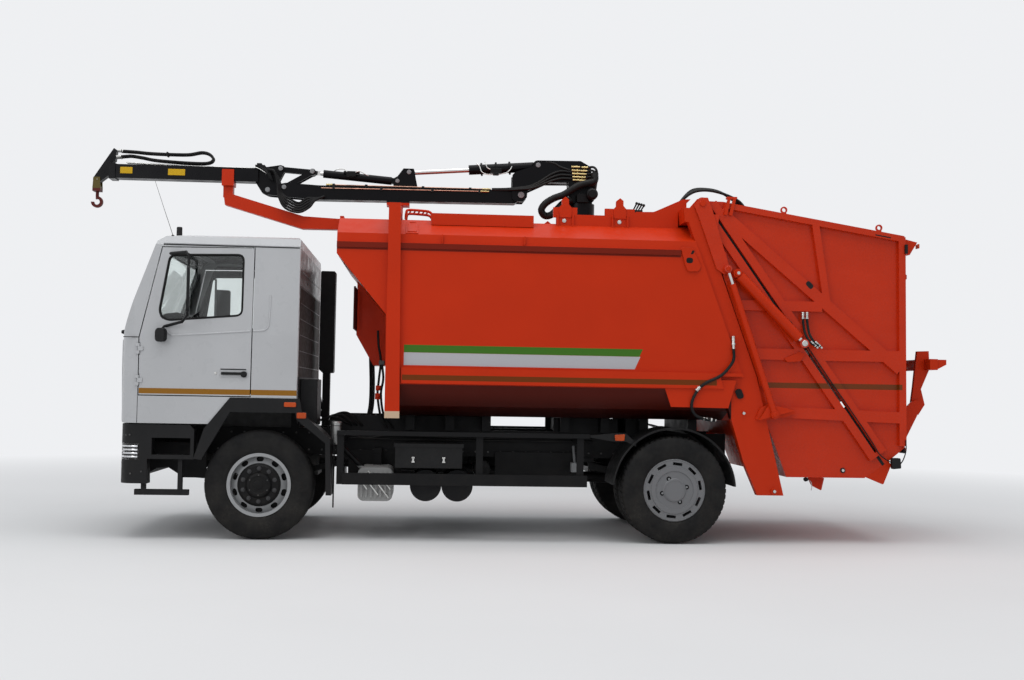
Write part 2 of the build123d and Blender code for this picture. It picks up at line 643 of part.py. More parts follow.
def rear_frame():
    """Slanted posts that the tailgate shuts against, the beam over them and the hinge lugs."""
    posts = post_outline(POST_IN, POST_OUT)
    posts += plate([(4080, 3150.3), (4205, 3150.3), (4172, 3290), (4065, 3290)], -POST_OUT, POST_OUT)
    posts += plate([(4700, 1040), (4930, 1040), (4892, 1199.7), (4640, 1199.7)], -POST_OUT, POST_OUT)
    lug = drum(HINGE, POST_OUT - 18, POST_OUT, 62)
    lug += plate([(4090, 3250), (4240, 3220), (4290, 3310), (4200, 3380)], POST_OUT - 18, POST_OUT)
    lug += drum(HINGE, POST_OUT - 1, ARM_OUT + 10, 26)
    inside = POST_OUT - 18
    foot = plate([(4800, 1225), (4850, 1212), (5100, 1250), (5192, 1285), (5185, 1314), (5000, 1345), (4923, 1372),
                  (4840, 1330)], inside, ARM_OUT)
    foot += drum(LIFT_FOOT, ARM_OUT - 1, LIFT_Y + 29, 22)
    foot += ring((4992, 520), POST_OUT - 1, POST_OUT + 22, 34, 18)
    return posts + pair(lug) + pair(foot)


def crane_rests():
    """Portal under the boom and the cradle over the cab for the jib."""
    post = plate([(1182, PORTAL_TOP), (1296, PORTAL_TOP), (1323, 1180), (1180, 1180)], BODY_HALF + SEAT, PORTAL_HALF)
    post -= box(1300, 1400, BODY_HALF, BODY_HALF + RAIL_STEP + SEAT, 1500, 1700)
    post -= box(1100, 1400, BODY_HALF, LEDGE_OUT + SEAT, LEDGE_LEVELS[0] - SEAT, LEDGE_LEVELS[1] + SEAT)
    portal = pair(post) + box(1182, 1296, -PORTAL_HALF, PORTAL_HALF, BODY_TOP + SEAT, PORTAL_TOP)
    portal += box(1190, 1290, -60, 60, PORTAL_TOP - 1, 3400)
    portal += box(1120, 1360, -90, 90, 3399, 3441)
    arm = plate([(-590, 3500), (250, 3260), (690, 3240), (690, 3130), (240, 3127), (-570, 3360)], -50, 50)
    arm += plate([(-602, 3557), (-478, 3557), (-478, 3729), (-602, 3729)], -92, -80)
    arm += box(-602, -478, -92, 80, 3560, 3603)
    arm += box(-590, -490, -50, 50, 3440, 3565)
    arm += box(650, BODY_FRONT - SEAT, -300, 300, 2990, 3240)
    return portal + arm


# The crane base's side plates across the truck, and its posts: place, half width of the wings
BASE_Y = (880, 920)
BASE_POSTS = [(2925, 120), (3475, 150)]


def crane_base():
    """Base on the roof: two ribbed side plates, the slewing ring's table and the hump behind."""
    y0, y1 = BASE_Y
    base = pair(plate([(2835, 2960), (3550, 2960), (3550, 3230), (2835, 3230)], y0, y1))
    for x, wing in BASE_POSTS:
        post = plate([(x - 62, 3200), (x + 62, 3200), (x + 62, 3300), (x + 34, 3330), (x + 34, 3380), (x, 3407),
                      (x - 34, 3380), (x - 34, 3330), (x - 62, 3300)], y0 - 20, y1 + 10)
        post += box(x - wing, x + wing, y0, y1, 3200, 3300)
        for side in (-1, 1):
            post += box(x + side * 76 - 8, x + side * 76 + 8, y0, y1 + 24, 2910, 3230)
        base += pair(post)
    base += box(2990, 3390, -y0 - 0.5, y0 + 0.5, 3120, 3200)
    base += Pos(SLEW_X, 0, 3230) * Cylinder(230, 70)
    base += pair(plate([(3550, 2990), (4150, 3020), (4150, 3400), (3814, 3279), (3640, 3275), (3550, 3215)], y0, y1))
    base += plate([(3696, 3200), (3814, 3279), (4120, 3420), (4200, 3424), (4080, 3300), (3900, 3200)],
                  -y0 - 0.5, y0 + 0.5)
    base -= body_form(0, [(500, 3440), (500, 1100), (4915, 1100), (4810, 1640), (4160, 3440)])
    base -= box(4064.7, 4300, -1300, 1300, 3000, 3290.3)
    return base


def ejector_plate():
    """Plate that pushes the load out, filling the body's inside and cut back to pass the rear posts."""
    face = make_face(Polyline(*both_halves(BODY_SECTION), close=True))
    face = offset(face, amount=-WALL - 14, kind=Kind.INTERSECTION)
    push = extrude(Plane.YZ.offset(1330) * face, amount=50)
    for z in (1420, 1900, 2400, 2900):
        push += box(1290, 1331, -1060, 1060, z - 40, z + 40)
    push -= pair(box(1200, 1400, POST_IN - 7, BODY_HALF, 2790, BODY_TOP))
    return push + pair(box(1290, 1380, 480, 560, BODY_FLOOR + WALL + SEAT, BODY_FLOOR + WALL + 40))


# Tailgate

GATE_OUTLINE = [(4236, 3265), (4330, 3372), (4475, 3370), (6315, 3078), (6335, 965), (6150, 812), (5925, 658),
                (5135, 658), (5012, 984), (4935, 1176), (4824, 1640)]


def gate_shell():
    """Hopper: two side walls, the roof, the curved tub and the panel over the loading mouth."""
    outer = plate(GATE_OUTLINE, -GATE_HALF, GATE_HALF)
    room = [(4100, 3265), (4330, 3330), (4475, 3330), (6285, 3048), (6305, 985), (6135, 842), (5915, 688),
            (5150, 688), (5040, 994), (4965, 1186), (4965, 1230), (4700, 1230)]
    outer -= plate(room, -GATE_HALF + GATE_WALL, GATE_HALF - GATE_WALL)
    outer -= box(6200, 6400, -GATE_HALF + GATE_WALL + 30, GATE_HALF - GATE_WALL - 30, 1060, 2560)
    slot_dir = slot_line()
    outer -= strip(slot_dir(-70), slot_dir(SLIDE + 70), SLOT_W, -1300, 1300)
    return outer


def slot_line():
    """Returns a function that gives the point on the carriage's track, from the trunnion's place at rest."""
    ux = math.cos(math.radians(SLOT_ANGLE))
    uz = -math.sin(math.radians(SLOT_ANGLE))
    return lambda distance: (PACK_PIN[0] + ux * distance, PACK_PIN[1] + uz * distance)


# Ribs on the tailgate's sides: from, to, width
GATE_RIBS = [
    ((4600, 2345), (5470, 2345), 100),
    ((4790, 1866), (6300, 1866), 110),
    ((4960, 1300), (6310, 1257), 110),
    ((4440, 3262), (6270, 1735), 110),
    ((4480, 3330), (6300, 3040), 60),
    ((6282, 3060), (6300, 980), 70),
    ((5400, 3160), (5517, 2400), 70),
    ((4290, 3290), (4890, 1560), 90),
]


# Lifting eyes on the tailgate's roof
GATE_EYES = [(5123, 3322), (6102, 3168)]
EYE_R = 20
EYE_WALL = 22
EYE_OUT = 34
EYE_Y = GATE_HALF - 130


def gate_frame():
    """Ribs, posts and the carriage's track on the tailgate's sides, and its hinge arms."""
    y0 = GATE_HALF
    y1 = GATE_OUT
    at = slot_line()
    ribs = strip(at(-1650), at(1340), 190, y0, y1)
    for p, q, width in GATE_RIBS:
        ribs += strip(p, q, width, y0, y1)
    ribs &= plate(GATE_OUTLINE, y0, y1)
    ribs -= strip(at(-70), at(SLIDE + 70), SLOT_W, 0, 1300)
    ribs -= strip(at(-1640), at(1300), 30, y0 + 6, 1300)
    arm = plate([(4163, 3318), (4230, 3392), (4300, 3392), (4345, 3279), (4511, 2740), (4530, 2660), (4470, 2640),
                 (4396, 2690), (4225, 3167)], ARM_IN, ARM_OUT)
    arm -= drum(HINGE, ARM_IN - 5, ARM_OUT + 5, 26.4)
    tie = plate([(4330, 3230), (4420, 3230), (4400, 3060), (4345, 3060)], y1 - 1, ARM_IN + 1)
    tie += plate([(4440, 2860), (4490, 2860), (4515, 2740), (4450, 2740)], y1 - 1, ARM_IN + 1)
    mount = drum(PACK_TOP, y1 - 1, PACK_Y + PACK_R, 28)
    eyes = None
    for x, z in GATE_EYES:
        eye = drum((x, z), EYE_Y, EYE_Y + EYE_WALL, EYE_OUT) + box(x - 24, x + 24, EYE_Y, EYE_Y + EYE_WALL, z - 90, z)
        eye -= drum((x, z), EYE_Y - 5, EYE_Y + EYE_WALL + 5, EYE_R)
        eye -= plate(GATE_OUTLINE, EYE_Y - 5, EYE_Y + EYE_WALL + 5)
        eyes = eye if eyes is None else eyes + eye
    return pair(ribs + arm + tie + mount) + pair(eyes)


def lifter_mount():
    """Bracket under the loading edge that carries the bin lifter."""
    y0 = LIFTER_Y + 50
    mount = box(6335.3, 6375, -1000, 1000, 975, 1055)
    mount += pair(plate([(6336, 975), (6420, 1010), (6590, 1350), (6600, 1410), (6560, 1440), (6500, 1420),
                         (6336, 1250)], y0, y0 + 35))
    return mount + pair(drum(LIFTER_PIN, LIFTER_Y - 4, y0 + 34, 30))


def tail_lamps():
    """Lamps on brackets at the tailgate's top and foot."""
    return pair(plate([(6316, 3050), (6457, 3017), (6380, 2890), (6336, 2890)], GATE_HALF - 100, GATE_HALF - 10))


def packer_carriage():
    """Plate that slides down the track, on trunnions that pass through the side slots."""
    at = slot_line()
    span = GATE_HALF - GATE_WALL - 8
    cheek = span - CHEEK
    carriage = strip(at(-900), at(-70), 110, -cheek - 1, cheek + 1)
    cheeks = strip(at(-900), at(BLADE_DROP), 110, cheek, span)
    cheeks += drum(at(BLADE_DROP), cheek, span, 55)
    cheeks += strip(at(-60), at(60), SLOT_W - 8, span - 1, GATE_OUT)
    cheeks -= drum(at(BLADE_DROP), cheek - 5, span + 5, 30.3)
    return carriage + pair(cheeks)


def packer_blade():
    """Blade that hangs from the carriage's foot and sweeps the tub, with its curved packing face."""
    cheek = GATE_HALF - GATE_WALL - 8 - CHEEK
    at = slot_line()
    blade = strip(at(BLADE_DROP), at(BLADE_DROP + BLADE_R), 84, -cheek + 0.4, cheek - 0.4)
    blade += drum(at(BLADE_DROP), -cheek + 0.4, cheek - 0.4, 50)
    blade += drum(at(BLADE_DROP), -cheek - CHEEK + 2, cheek + CHEEK - 2, 30)
    return blade


def cylinder_tube(foot, eye, y, length, radius, bore, knuckle_r, y0, y1, bore_start):
    """Cylinder tube from its foot's knuckle towards the eye, bored for its rod."""
    end = along(foot, eye, length)
    first = along(foot, eye, knuckle_r - 10)
    tube = rod((first[0], y, first[1]), (end[0], y, end[1]), radius)
    tube += drum(foot, y0, y1, knuckle_r)
    inner = along(foot, eye, bore_start)
    outer = along(foot, eye, length + 20)
    return tube - rod((inner[0], y, inner[1]), (outer[0], y, outer[1]), bore)


def cylinder_rod(foot, eye, y, start, radius, knuckle_r, y0, y1):
    """Piston rod from inside its tube to the eye's knuckle."""
    first = along(foot, eye, start)
    end = along(foot, eye, math.dist(foot, eye) - knuckle_r / 2)
    return rod((first[0], y, first[1]), (end[0], y, end[1]), radius) + drum(eye, y0, y1, knuckle_r)


def packer_barrels():
    """Carriage cylinders outside the walls, pinned at their upper ends."""
    y0 = GATE_OUT + 0.4
    tube = cylinder_tube(PACK_TOP, PACK_PIN, PACK_Y, 880, PACK_R, 24.4, 44, y0, PACK_Y + 24, 70)
    return pair(tube - drum(PACK_TOP, y0 - 5, PACK_Y + 60, 28.4))


def packer_rods():
    """Piston rods of the carriage cylinders with their eyes on the trunnions."""
    y0 = GATE_OUT + 0.4
    return pair(cylinder_rod(PACK_TOP, PACK_PIN, PACK_Y, 110, 24, 44, y0, PACK_Y + 24))


def lift_barrels():
    """Tailgate cylinders, pinned at the posts' feet."""
    y0 = ARM_OUT + 0.4
    tube = cylinder_tube(LIFT_FOOT, LIFT_EYE, LIFT_Y, 1340, LIFT_R, 17.4, 40, y0, LIFT_Y + 28, 200)
    return pair(tube - drum(LIFT_FOOT, y0 - 5, LIFT_Y + 60, 22.4))


def lift_rods():
    """Piston rods of the tailgate cylinders with their eyes on the arms."""
    return pair(cylinder_rod(LIFT_FOOT, LIFT_EYE, LIFT_Y, 300, 17, 36, ARM_OUT + 0.4, LIFT_Y + 28))


def bin_lifter():
    """Comb bar on two arms that tips the bins."""
    arm = plate([(6500, 1330), (6585, 1289), (6650, 1392), (6610, 1550), (6700, 1760), (6690, 1940), (6570, 1935),
                 (6530, 1560)], LIFTER_Y, LIFTER_Y + 45)
    arm -= drum(LIFTER_PIN, LIFTER_Y - 10, LIFTER_Y + 60, 30.3)
    lifter = pair(arm)
    lifter += box(6640, 6720, -1000, 1000, 1745, 1855)
    for i in range(17):
        y = -960 + i * 120
        lifter += plate([(6719, 1750), (REAR_END, 1800), (REAR_END, 1850), (6719, 1850)], y - 25, y + 25)
    return lifter


# Crane

def crane_column():
    """Column on the slewing ring, with the two plates that hold the boom and its cylinder."""
    column = Pos(SLEW_X, 0, (3265.4 + 3470) / 2) * Cylinder(150, 3470 - 3265.4)
    cheek = plate([(2447, 3500), (2447, 3757), (2480, 3790), (2650, 3850), (2711, 3919), (3175, 3926), (3286, 3863),
                   (3320, 3500), (3260, 3445), (3050, 3445), (3050, 3690), (2806, 3684), (2610, 3590), (2604, 3520),
                   (2565, 3472), (2475, 3472)], BOOM_HALF + 0.4, BOOM_HALF + 26, 8)
    cheeks = pair(cheek)
    cheeks += plate([(2806, 3695), (3052, 3695), (3060, 3455), (3310, 3455), (3270, 3850), (3170, 3900), (2960, 3900)],
                    -BOOM_HALF - 1, BOOM_HALF + 1)
    holes = drum(BOOM_PIN, -200, 200, 36.3) + drum(MAIN_FOOT, -200, 200, 30.3)
    return column + (cheeks - holes)


def crane_boom():
    """Main boom: box beam with a pivot at its foot, plates for the knuckle and the cylinders' bracket."""
    beam = plate([(300, 3440), (375, 3438), (2477, 3454), (2500, 3470), (2500, 3596), (300, 3588)], -BOOM_HALF, BOOM_HALF)
    beam += drum(BOOM_PIN, -BOOM_HALF, BOOM_HALF, 62)
    beam += strip((2400, 3525), BOOM_PIN, 110, -BOOM_HALF, BOOM_HALF)
    beam += drum(BOOM_PIN, -BOOM_HALF - 24, BOOM_HALF + 24, 36)
    outline = [(420, 3588), (60, 3606), (-100, 3570), (-172, 3545), (-172, 3500), (-120, 3472), (300, 3440), (420, 3440)]
    cheeks = pair(plate(outline, CHEEK_LEVEL, BOOM_HALF, 8))
    bracket = plate([(1186, 3590), (1186, 3690), (1228, 3715), (1290, 3800), (1400, 3800), (1440, 3610), (1440, 3590)],
                    30, 46, 6)
    return beam + cheeks + pair(bracket)


def main_barrel():
    """Boom cylinder's tube, pinned at the column's head."""
    tube = cylinder_tube(MAIN_FOOT, MAIN_EYE, 0, 737, 52, 26.4, 56, -BOOM_HALF + 0.4, BOOM_HALF - 0.4, 60)
    return tube + drum(MAIN_FOOT, -BOOM_HALF - 24, BOOM_HALF + 24, 30)


def main_rod():
    """Boom cylinder's rod, its eye between the bracket's plates."""
    return cylinder_rod(MAIN_FOOT, MAIN_EYE, 0, 500, 26, 42, -29.6, 29.6)


def boom_link():
    """Two bars from the boom's end to the cylinder's eye."""
    bar = strip(LINK_FOOT, LINK_TOP, 56, 42.4, 58)
    bar += drum(LINK_FOOT, 42.4, 58, 34) + drum(LINK_TOP, 42.4, 58, 34)
    return pair(bar)


def jib_link():
    """Two bars from the cylinder's eye to the jib's root."""
    bar = strip(LINK_TOP, JIB_PIN, 56, 12.4, 26)
    bar += drum(LINK_TOP, 12.4, 26, 34) + drum(JIB_PIN, 12.4, 26, 34)
    return pair(bar)


def crane_jib():
    """Jib: open box beam with a collar at its mouth and root plates round its two pins."""
    jib = box(-1700, -230, -JIB_HALF, JIB_HALF, 3607, 3752)
    jib -= box(-1800, -300, -JIB_HALF + 8, JIB_HALF - 8, 3615, 3744)
    collar = box(-1765, -1699, -JIB_HALF - 10, JIB_HALF + 10, 3597, 3762)
    jib += collar - box(-1800, -1600, -62.4, 62.4, 3619.6, 3739.4)
    root = plate([(-260, 3607), (-190, 3500), (-127, 3470), (-75, 3490), (45, 3740), (35, 3785), (0, 3797),
                  (-260, 3752)], 26.4, 42, 8)
    root += drum(KNUCKLE, 26.4, 58, 30)
    return jib + pair(root)


def jib_barrel():
    """Jib cylinder's tube, pinned in the boom's bracket."""
    end = along(JIB_FOOT, LINK_TOP, 785)
    start = along(JIB_FOOT, LINK_TOP, 62)
    tube = rod((start[0], 0, start[1]), (end[0], 0, end[1]), 42)
    tube += drum(JIB_FOOT, -29.6, 29.6, 38) + strip(JIB_FOOT, start, 60, -29.6, 29.6, 10)
    inner = along(JIB_FOOT, LINK_TOP, 80)
    outer = along(JIB_FOOT, LINK_TOP, 800)
    return tube - rod((inner[0], 0, inner[1]), (outer[0], 0, outer[1]), 22.4)


def jib_rod():
    """Jib cylinder's rod, its flat eye between the links."""
    start = along(JIB_FOOT, LINK_TOP, 100)
    reach = math.dist(JIB_FOOT, LINK_TOP)
    end = along(JIB_FOOT, LINK_TOP, reach - 80)
    shaft = rod((start[0], 0, start[1]), (end[0], 0, end[1]), 22)
    return shaft + strip(end, LINK_TOP, 44, -12, 12, 6) + drum(LINK_TOP, -12, 12, 34)


def jib_extension():
    """Inner box that slides out of the jib, with the head that carries the hook."""
    inner = box(JIB_TIP, -330, -62, 62, 3620, 3739) - box(JIB_TIP + 8, -300, -54, 54, 3628, 3731)
    head = plate([(-1772, 3640), (-1772, 3768), (-1715, 3790), (-1700, 3905), (-1730, 3925), (-1930, 3612),
                  (-1935, 3590), (-1925, 3560), (-1880, 3552)], -40, 40, 4)
    return inner + head - drum(HOOK_PIN, -60, 60, 14.3)


def hook():
    """Hook block that swings on the jib's head, with its hook."""
    x, z = HOOK_PIN
    cheek = plate([(x - 34, z + 24), (x + 34, z + 24), (x + 40, z - 90), (x - 40, z - 90)], 40.4, 52, 6)
    block = pair(cheek) + box(x - 40, x + 40, -52, 52, z - 122, z - 72) + drum(HOOK_PIN, -54, 54, 14)
    shank = rod((x, 0, z - 120), (x, 0, z - 182), 17)
    bow = ring((x, z - 232), -16, 16, 60, 30) - box(x - 90, x - 12, -30, 30, z - 232, z - 160)
    return block + shank + bow


def build_nodes():
    """Every piece by its node's name."""
    nodes = {
        "frame": frame(),
        "engine": engine(),
        "front_axle": front_axle(),
        "rear_axle": rear_axle(),
        "air_tanks": air_tanks(),
        "fuel_tank": fuel_tank(),
        "battery_box": battery_box(),
        "exhaust": exhaust(),
        "air_intake": air_intake(),
        "side_guards": side_guards(),
        "mudguards": mudguards(),
        "cab_shell": cab_shell(),
        "windscreen": windscreen(),
        "cab_interior": cab_interior(),
        "bumper": bumper(),
        "lamps": lamps(),
        "body_shell": body_shell(),
        "rear_frame": rear_frame(),
        "crane_rests": crane_rests(),
        "crane_base": crane_base(),
        "ejector_plate": ejector_plate(),
        "tie_rod": tie_rod(),
        "gate_shell": gate_shell(),
        "gate_frame": gate_frame(),
        "tail_lamps": tail_lamps(),
        "lifter_mount": lifter_mount(),
        "packer_carriage": packer_carriage(),
        "packer_blade": packer_blade(),
        "packer_barrels": packer_barrels(),
        "packer_rods": packer_rods(),
        "lift_barrels": lift_barrels(),
        "lift_rods": lift_rods(),
        "bin_lifter": bin_lifter(),
        "crane_column": crane_column(),
        "crane_boom": crane_boom(),
        "main_barrel": main_barrel(),
        "main_rod": main_rod(),
        "boom_link": boom_link(),
        "jib_link": jib_link(),
        "crane_jib": crane_jib(),
        "jib_barrel": jib_barrel(),
        "jib_rod": jib_rod(),
        "jib_extension": jib_extension(),
        "hook": hook(),
    }
    for name, side in (("left", -1), ("right", 1)):
        nodes[f"knuckle_{name}"] = knuckle(side)
        nodes[f"tyre_front_{name}"] = tyre(0, side, FRONT_TYRE_IN, FRONT_TYRE_W)
        nodes[f"rim_front_{name}"] = front_rim(side)
        inner_twin = tyre(WHEELBASE, side, TWIN_IN, TWIN_TYRE_W)
        outer_twin = tyre(WHEELBASE, side, TWIN_IN + TWIN_TYRE_W + TWIN_GAP, TWIN_TYRE_W)
        nodes[f"tyres_rear_{name}"] = inner_twin + outer_twin
        nodes[f"rim_rear_{name}"] = rear_rim(side)
        nodes[f"door_{name}"] = door(side)
        nodes[f"door_glass_{name}"] = door_glass(side)
        nodes[f"mirror_{name}"] = mirror_set(side)
    return nodes


def main():
    os.makedirs("parts", exist_ok=True)
    for name, shape in build_nodes().items():
        export_step(Pos(-X_MID, 0, 0) * shape, f"parts/{name}.step")


if __name__ == "__main__":
    main()
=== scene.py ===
"""Looks of a rear-loading garbage truck with a roof crane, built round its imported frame."""
import math

import bmesh
import bpy
import numpy as np
from mathutils import Matrix, Vector


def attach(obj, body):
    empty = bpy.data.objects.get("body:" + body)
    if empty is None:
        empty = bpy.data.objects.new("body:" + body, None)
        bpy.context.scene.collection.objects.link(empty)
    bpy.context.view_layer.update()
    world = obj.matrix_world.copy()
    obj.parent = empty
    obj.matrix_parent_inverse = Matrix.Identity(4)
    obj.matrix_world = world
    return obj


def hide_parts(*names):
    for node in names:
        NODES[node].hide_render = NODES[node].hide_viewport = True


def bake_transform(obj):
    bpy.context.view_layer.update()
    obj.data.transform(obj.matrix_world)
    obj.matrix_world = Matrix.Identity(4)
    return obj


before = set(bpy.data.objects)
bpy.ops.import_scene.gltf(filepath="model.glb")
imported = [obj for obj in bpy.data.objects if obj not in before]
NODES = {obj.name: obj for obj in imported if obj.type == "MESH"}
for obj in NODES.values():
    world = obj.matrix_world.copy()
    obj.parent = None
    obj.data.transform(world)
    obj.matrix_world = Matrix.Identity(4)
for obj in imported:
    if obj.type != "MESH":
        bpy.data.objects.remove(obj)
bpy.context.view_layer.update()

# Places are written in millimetres from the front axle: x rearwards, y towards the passenger, z up
X_MID = 2440
WHEELBASE = 4000
TYRE_R = 522
FRONT_TYRE_IN, FRONT_TYRE_W = 885, 295
TWIN_IN, TWIN_TYRE_W, TWIN_GAP = 645, 275, 40
BEAD_R = 287
SIDES = (("left", -1), ("right", 1))
# Eyes of the cylinders' rods, x and z, and the slope of the packer's track
TRUNNION, LIFT_EYE, MAIN_EYE, JIB_EYE = (5273, 1975), (4498, 2690), (1349, 3761), (334, 3732)
SLOPE = math.radians(54.6)
# Rows of hoses: y over the tailgate's hinge, y and drop over the jib
HINGE_HOSE_ROWS = (-760, -705, -650)
JIB_HOSE_ROWS = ((-34, 0), (-8, 10), (22, 4))


def place(points):
    """Millimetres from the front axle to metres in the frame."""
    return (np.asarray(points, float) - (X_MID, 0, 0)) / 1000


# Shapes: each function returns points in millimetres and faces

def grid_faces(rows, columns, close_rows=False, close_columns=False):
    """Quads of a grid of points; a closed direction joins its last line to its first."""
    i = np.arange(rows if close_rows else rows - 1)[:, None]
    j = np.arange(columns if close_columns else columns - 1)[None, :]
    ni, nj = (i + 1) % rows, (j + 1) % columns
    return np.stack([i * columns + j, ni * columns + j, ni * columns + nj, i * columns + nj],
                    -1).reshape(-1, 4)


def lathe(profile, centre, steps=64, axis=1):
    """Profile of (along, radius) carried once round an axis through centre: radius * (cos t, sin t)."""
    profile = np.asarray(profile, float)
    t = np.linspace(0, 2 * np.pi, steps, endpoint=False)[:, None]
    along = profile[None, :, 0] + 0 * t
    a, b = profile[None, :, 1] * np.cos(t), profile[None, :, 1] * np.sin(t)
    order = {0: (along, a, b), 1: (b, along, a), 2: (a, b, along)}[axis]
    points = np.stack(order, -1).reshape(-1, 3) + np.asarray(centre, float)
    return points, grid_faces(steps, len(profile), close_rows=True, close_columns=True)


def smooth_line(points, count=60):
    """Smooth line through the points, at count even steps of its parameter.

    Between b and c it is a cubic in t, leaving b at half of c - a and reaching c at half of d - b.
    """
    p = np.asarray(points, float)
    p = np.vstack([2 * p[0] - p[1], p, 2 * p[-1] - p[-2]])
    s = np.linspace(0, len(p) - 3, count)
    k = np.minimum(s.astype(int), len(p) - 4)
    t = (s - k)[:, None]
    a, b, c, d = p[k], p[k + 1], p[k + 2], p[k + 3]
    return 0.5 * (2 * b + (c - a) * t + (2 * a - 5 * b + 4 * c - d) * t ** 2
                  + (3 * b - 3 * c + d - a) * t ** 3)


def tube(path, radius, sides=12):
    """Circle carried along a path: path + radius * (across * cos t + up * sin t), ends shrunk to points."""
    path = np.asarray(path, float)
    path = np.vstack([path[:1], path, path[-1:]])
    radius = np.broadcast_to(radius, len(path) - 2)
    radius = np.concatenate([[0.01], radius, [0.01]])
    run = np.gradient(path[1:-1], axis=0)
    run = np.vstack([run[:1], run, run[-1:]])
    run /= np.linalg.norm(run, axis=1)[:, None]
    mean = np.abs(run).mean(0)
    spare = np.eye(3)[np.argmin(mean)]
    across = np.cross(run, spare)
    across /= np.linalg.norm(across, axis=1)[:, None]
    up = np.cross(run, across)
    t = np.linspace(0, 2 * np.pi, sides, endpoint=False)[None, :, None]
    points = path[:, None] + radius[:, None, None] * (across[:, None] * np.cos(t) + up[:, None] * np.sin(t))
    return points.reshape(-1, 3), grid_faces(len(path), sides, close_columns=True)


def round_corners(points, radius, steps=6):
    """Outline with corners (1 - t)^2 a + 2t (1 - t) corner + t^2 b, a and b lying on the two sides."""
    p = np.asarray(points, float)
    back, ahead = np.roll(p, 1, 0) - p, np.roll(p, -1, 0) - p
    back /= np.linalg.norm(back, axis=1)[:, None]
    ahead /= np.linalg.norm(ahead, axis=1)[:, None]
    t = np.linspace(0, 1, steps)[None, :, None]
    corner, a, b = p[:, None], (p + radius * back)[:, None], (p + radius * ahead)[:, None]
    return ((1 - t) ** 2 * a + 2 * t * (1 - t) * corner + t ** 2 * b).reshape(-1, p.shape[1])


def hoop(path, radius, across, sides=8, squash=1.0):
    """Tube along a closed loop: path + radius * (squash * first * cos t + second * sin t).

    first is square to the path and lies towards the direction across.
    """
    path = np.asarray(path, float)
    run = np.roll(path, -1, 0) - np.roll(path, 1, 0)
    run /= np.linalg.norm(run, axis=1)[:, None]
    first = np.asarray(across, float) - run * (run @ np.asarray(across, float))[:, None]
    first /= np.linalg.norm(first, axis=1)[:, None]
    second = np.cross(run, first)
    t = np.linspace(0, 2 * np.pi, sides, endpoint=False)[None, :, None]
    points = path[:, None] + radius * (squash * first[:, None] * np.cos(t) + second[:, None] * np.sin(t))
    return points.reshape(-1, 3), grid_faces(len(path), sides, close_rows=True, close_columns=True)


def hose(points, radius, count=50, ribs=0.0, sides=12):
    """Tube along a smooth line through the points, its radius being radius + ribs * cos(pi k) at step k."""
    line = smooth_line(points, count)
    return tube(line, radius + ribs * np.cos(np.arange(count) * np.pi), sides)


def coupling(p, q, radius):
    """Hose end seen as a crimped sleeve, a collar and a nut along the line from p to q."""
    p, q = np.asarray(p, float), np.asarray(q, float)
    along = np.array([0, 0.02, 0.1, 0.12, 0.2, 0.22, 0.3, 0.32, 0.55, 0.57, 0.68, 0.7, 1.0])
    wide = np.array([0.9, 1, 1, 0.85, 0.85, 1, 1, 0.8, 0.8, 1.15, 1.15, 0.75, 0.75])
    return tube(p + (q - p) * along[:, None], radius * wide, 12)


def prism(outline, low, high, axis=1):
    """Flat outline carried straight from low to high along an axis."""
    outline = np.asarray(outline, float)
    n = len(outline)
    rings = []
    for level in (low, high):
        along = np.full(n, float(level))
        a, b = outline[:, 0], outline[:, 1]
        rings.append(np.stack({0: (along, a, b), 1: (a, along, b), 2: (a, b, along)}[axis], -1))
    faces = grid_faces(2, n, close_columns=True).tolist()
    faces += [list(range(n))[::-1], list(range(n, 2 * n))]
    return np.vstack(rings), faces


def block(x0, x1, y0, y1, z0, z1):
    """Box between two corners."""
    return prism([(x0, z0), (x1, z0), (x1, z1), (x0, z1)], y0, y1)


def hexes(centres, size, low, high, axis=1):
    """Hexagon heads: six points at size / 2 * (cos t, sin t) round each centre, between two levels."""
    t = np.arange(6) * np.pi / 3
    shapes = []
    for a, b in centres:
        outline = np.stack([a + size / 2 * np.cos(t), b + size / 2 * np.sin(t)], -1)
        shapes.append(prism(outline, low, high, axis))
    return shapes


def moved(shape, offset):
    """The shape shifted by an offset."""
    return shape[0] + np.asarray(offset, float), shape[1]


def swung(shape, centre, degrees, axis=1):
    """The shape turned about an axis through centre."""
    turn = np.array(Matrix.Rotation(math.radians(degrees), 3, "XYZ"[axis]))
    return (shape[0] - centre) @ turn.T + centre, shape[1]


def other_side(shape):
    """The shape mirrored to the passenger's side."""
    return shape[0] * (1, -1, 1), [list(f)[::-1] for f in shape[1]]


def both(shapes):
    """Shapes on both sides of the truck."""
    return list(shapes) + [other_side(s) for s in shapes]


def piece(name, shapes, material, body, bevel=0.0, crease=35):
    """One object from several shapes, riding on a body, or on none if it bends across a joint.

    bevel is a width in millimetres, and crease the angle in degrees past which an edge stays sharp.
    """
    points, faces, start = [], [], 0
    for shape_points, shape_faces in shapes:
        points.append(shape_points)
        faces += [[start + int(i) for i in face] for face in shape_faces]
        start += len(shape_points)
    mesh = bpy.data.meshes.new(name)
    mesh.from_pydata(place(np.vstack(points)).tolist(), [], faces)
    work = bmesh.new()
    work.from_mesh(mesh)
    bmesh.ops.remove_doubles(work, verts=work.verts, dist=2e-5)
    bmesh.ops.recalc_face_normals(work, faces=work.faces)
    work.to_mesh(mesh)
    work.free()
    mesh.shade_smooth()
    mesh.set_sharp_from_angle(angle=math.radians(crease))
    mesh.materials.append(material)
    made = bpy.data.objects.new(name, mesh)
    bpy.context.collection.objects.link(made)
    if bevel:
        edge = made.modifiers.new("edge", "BEVEL")
        edge.width = bevel / 1000
        edge.segments = 2
        edge.limit_method = "ANGLE"
        edge.angle_limit = math.radians(30)
    if body:
        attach(made, body)
    return made


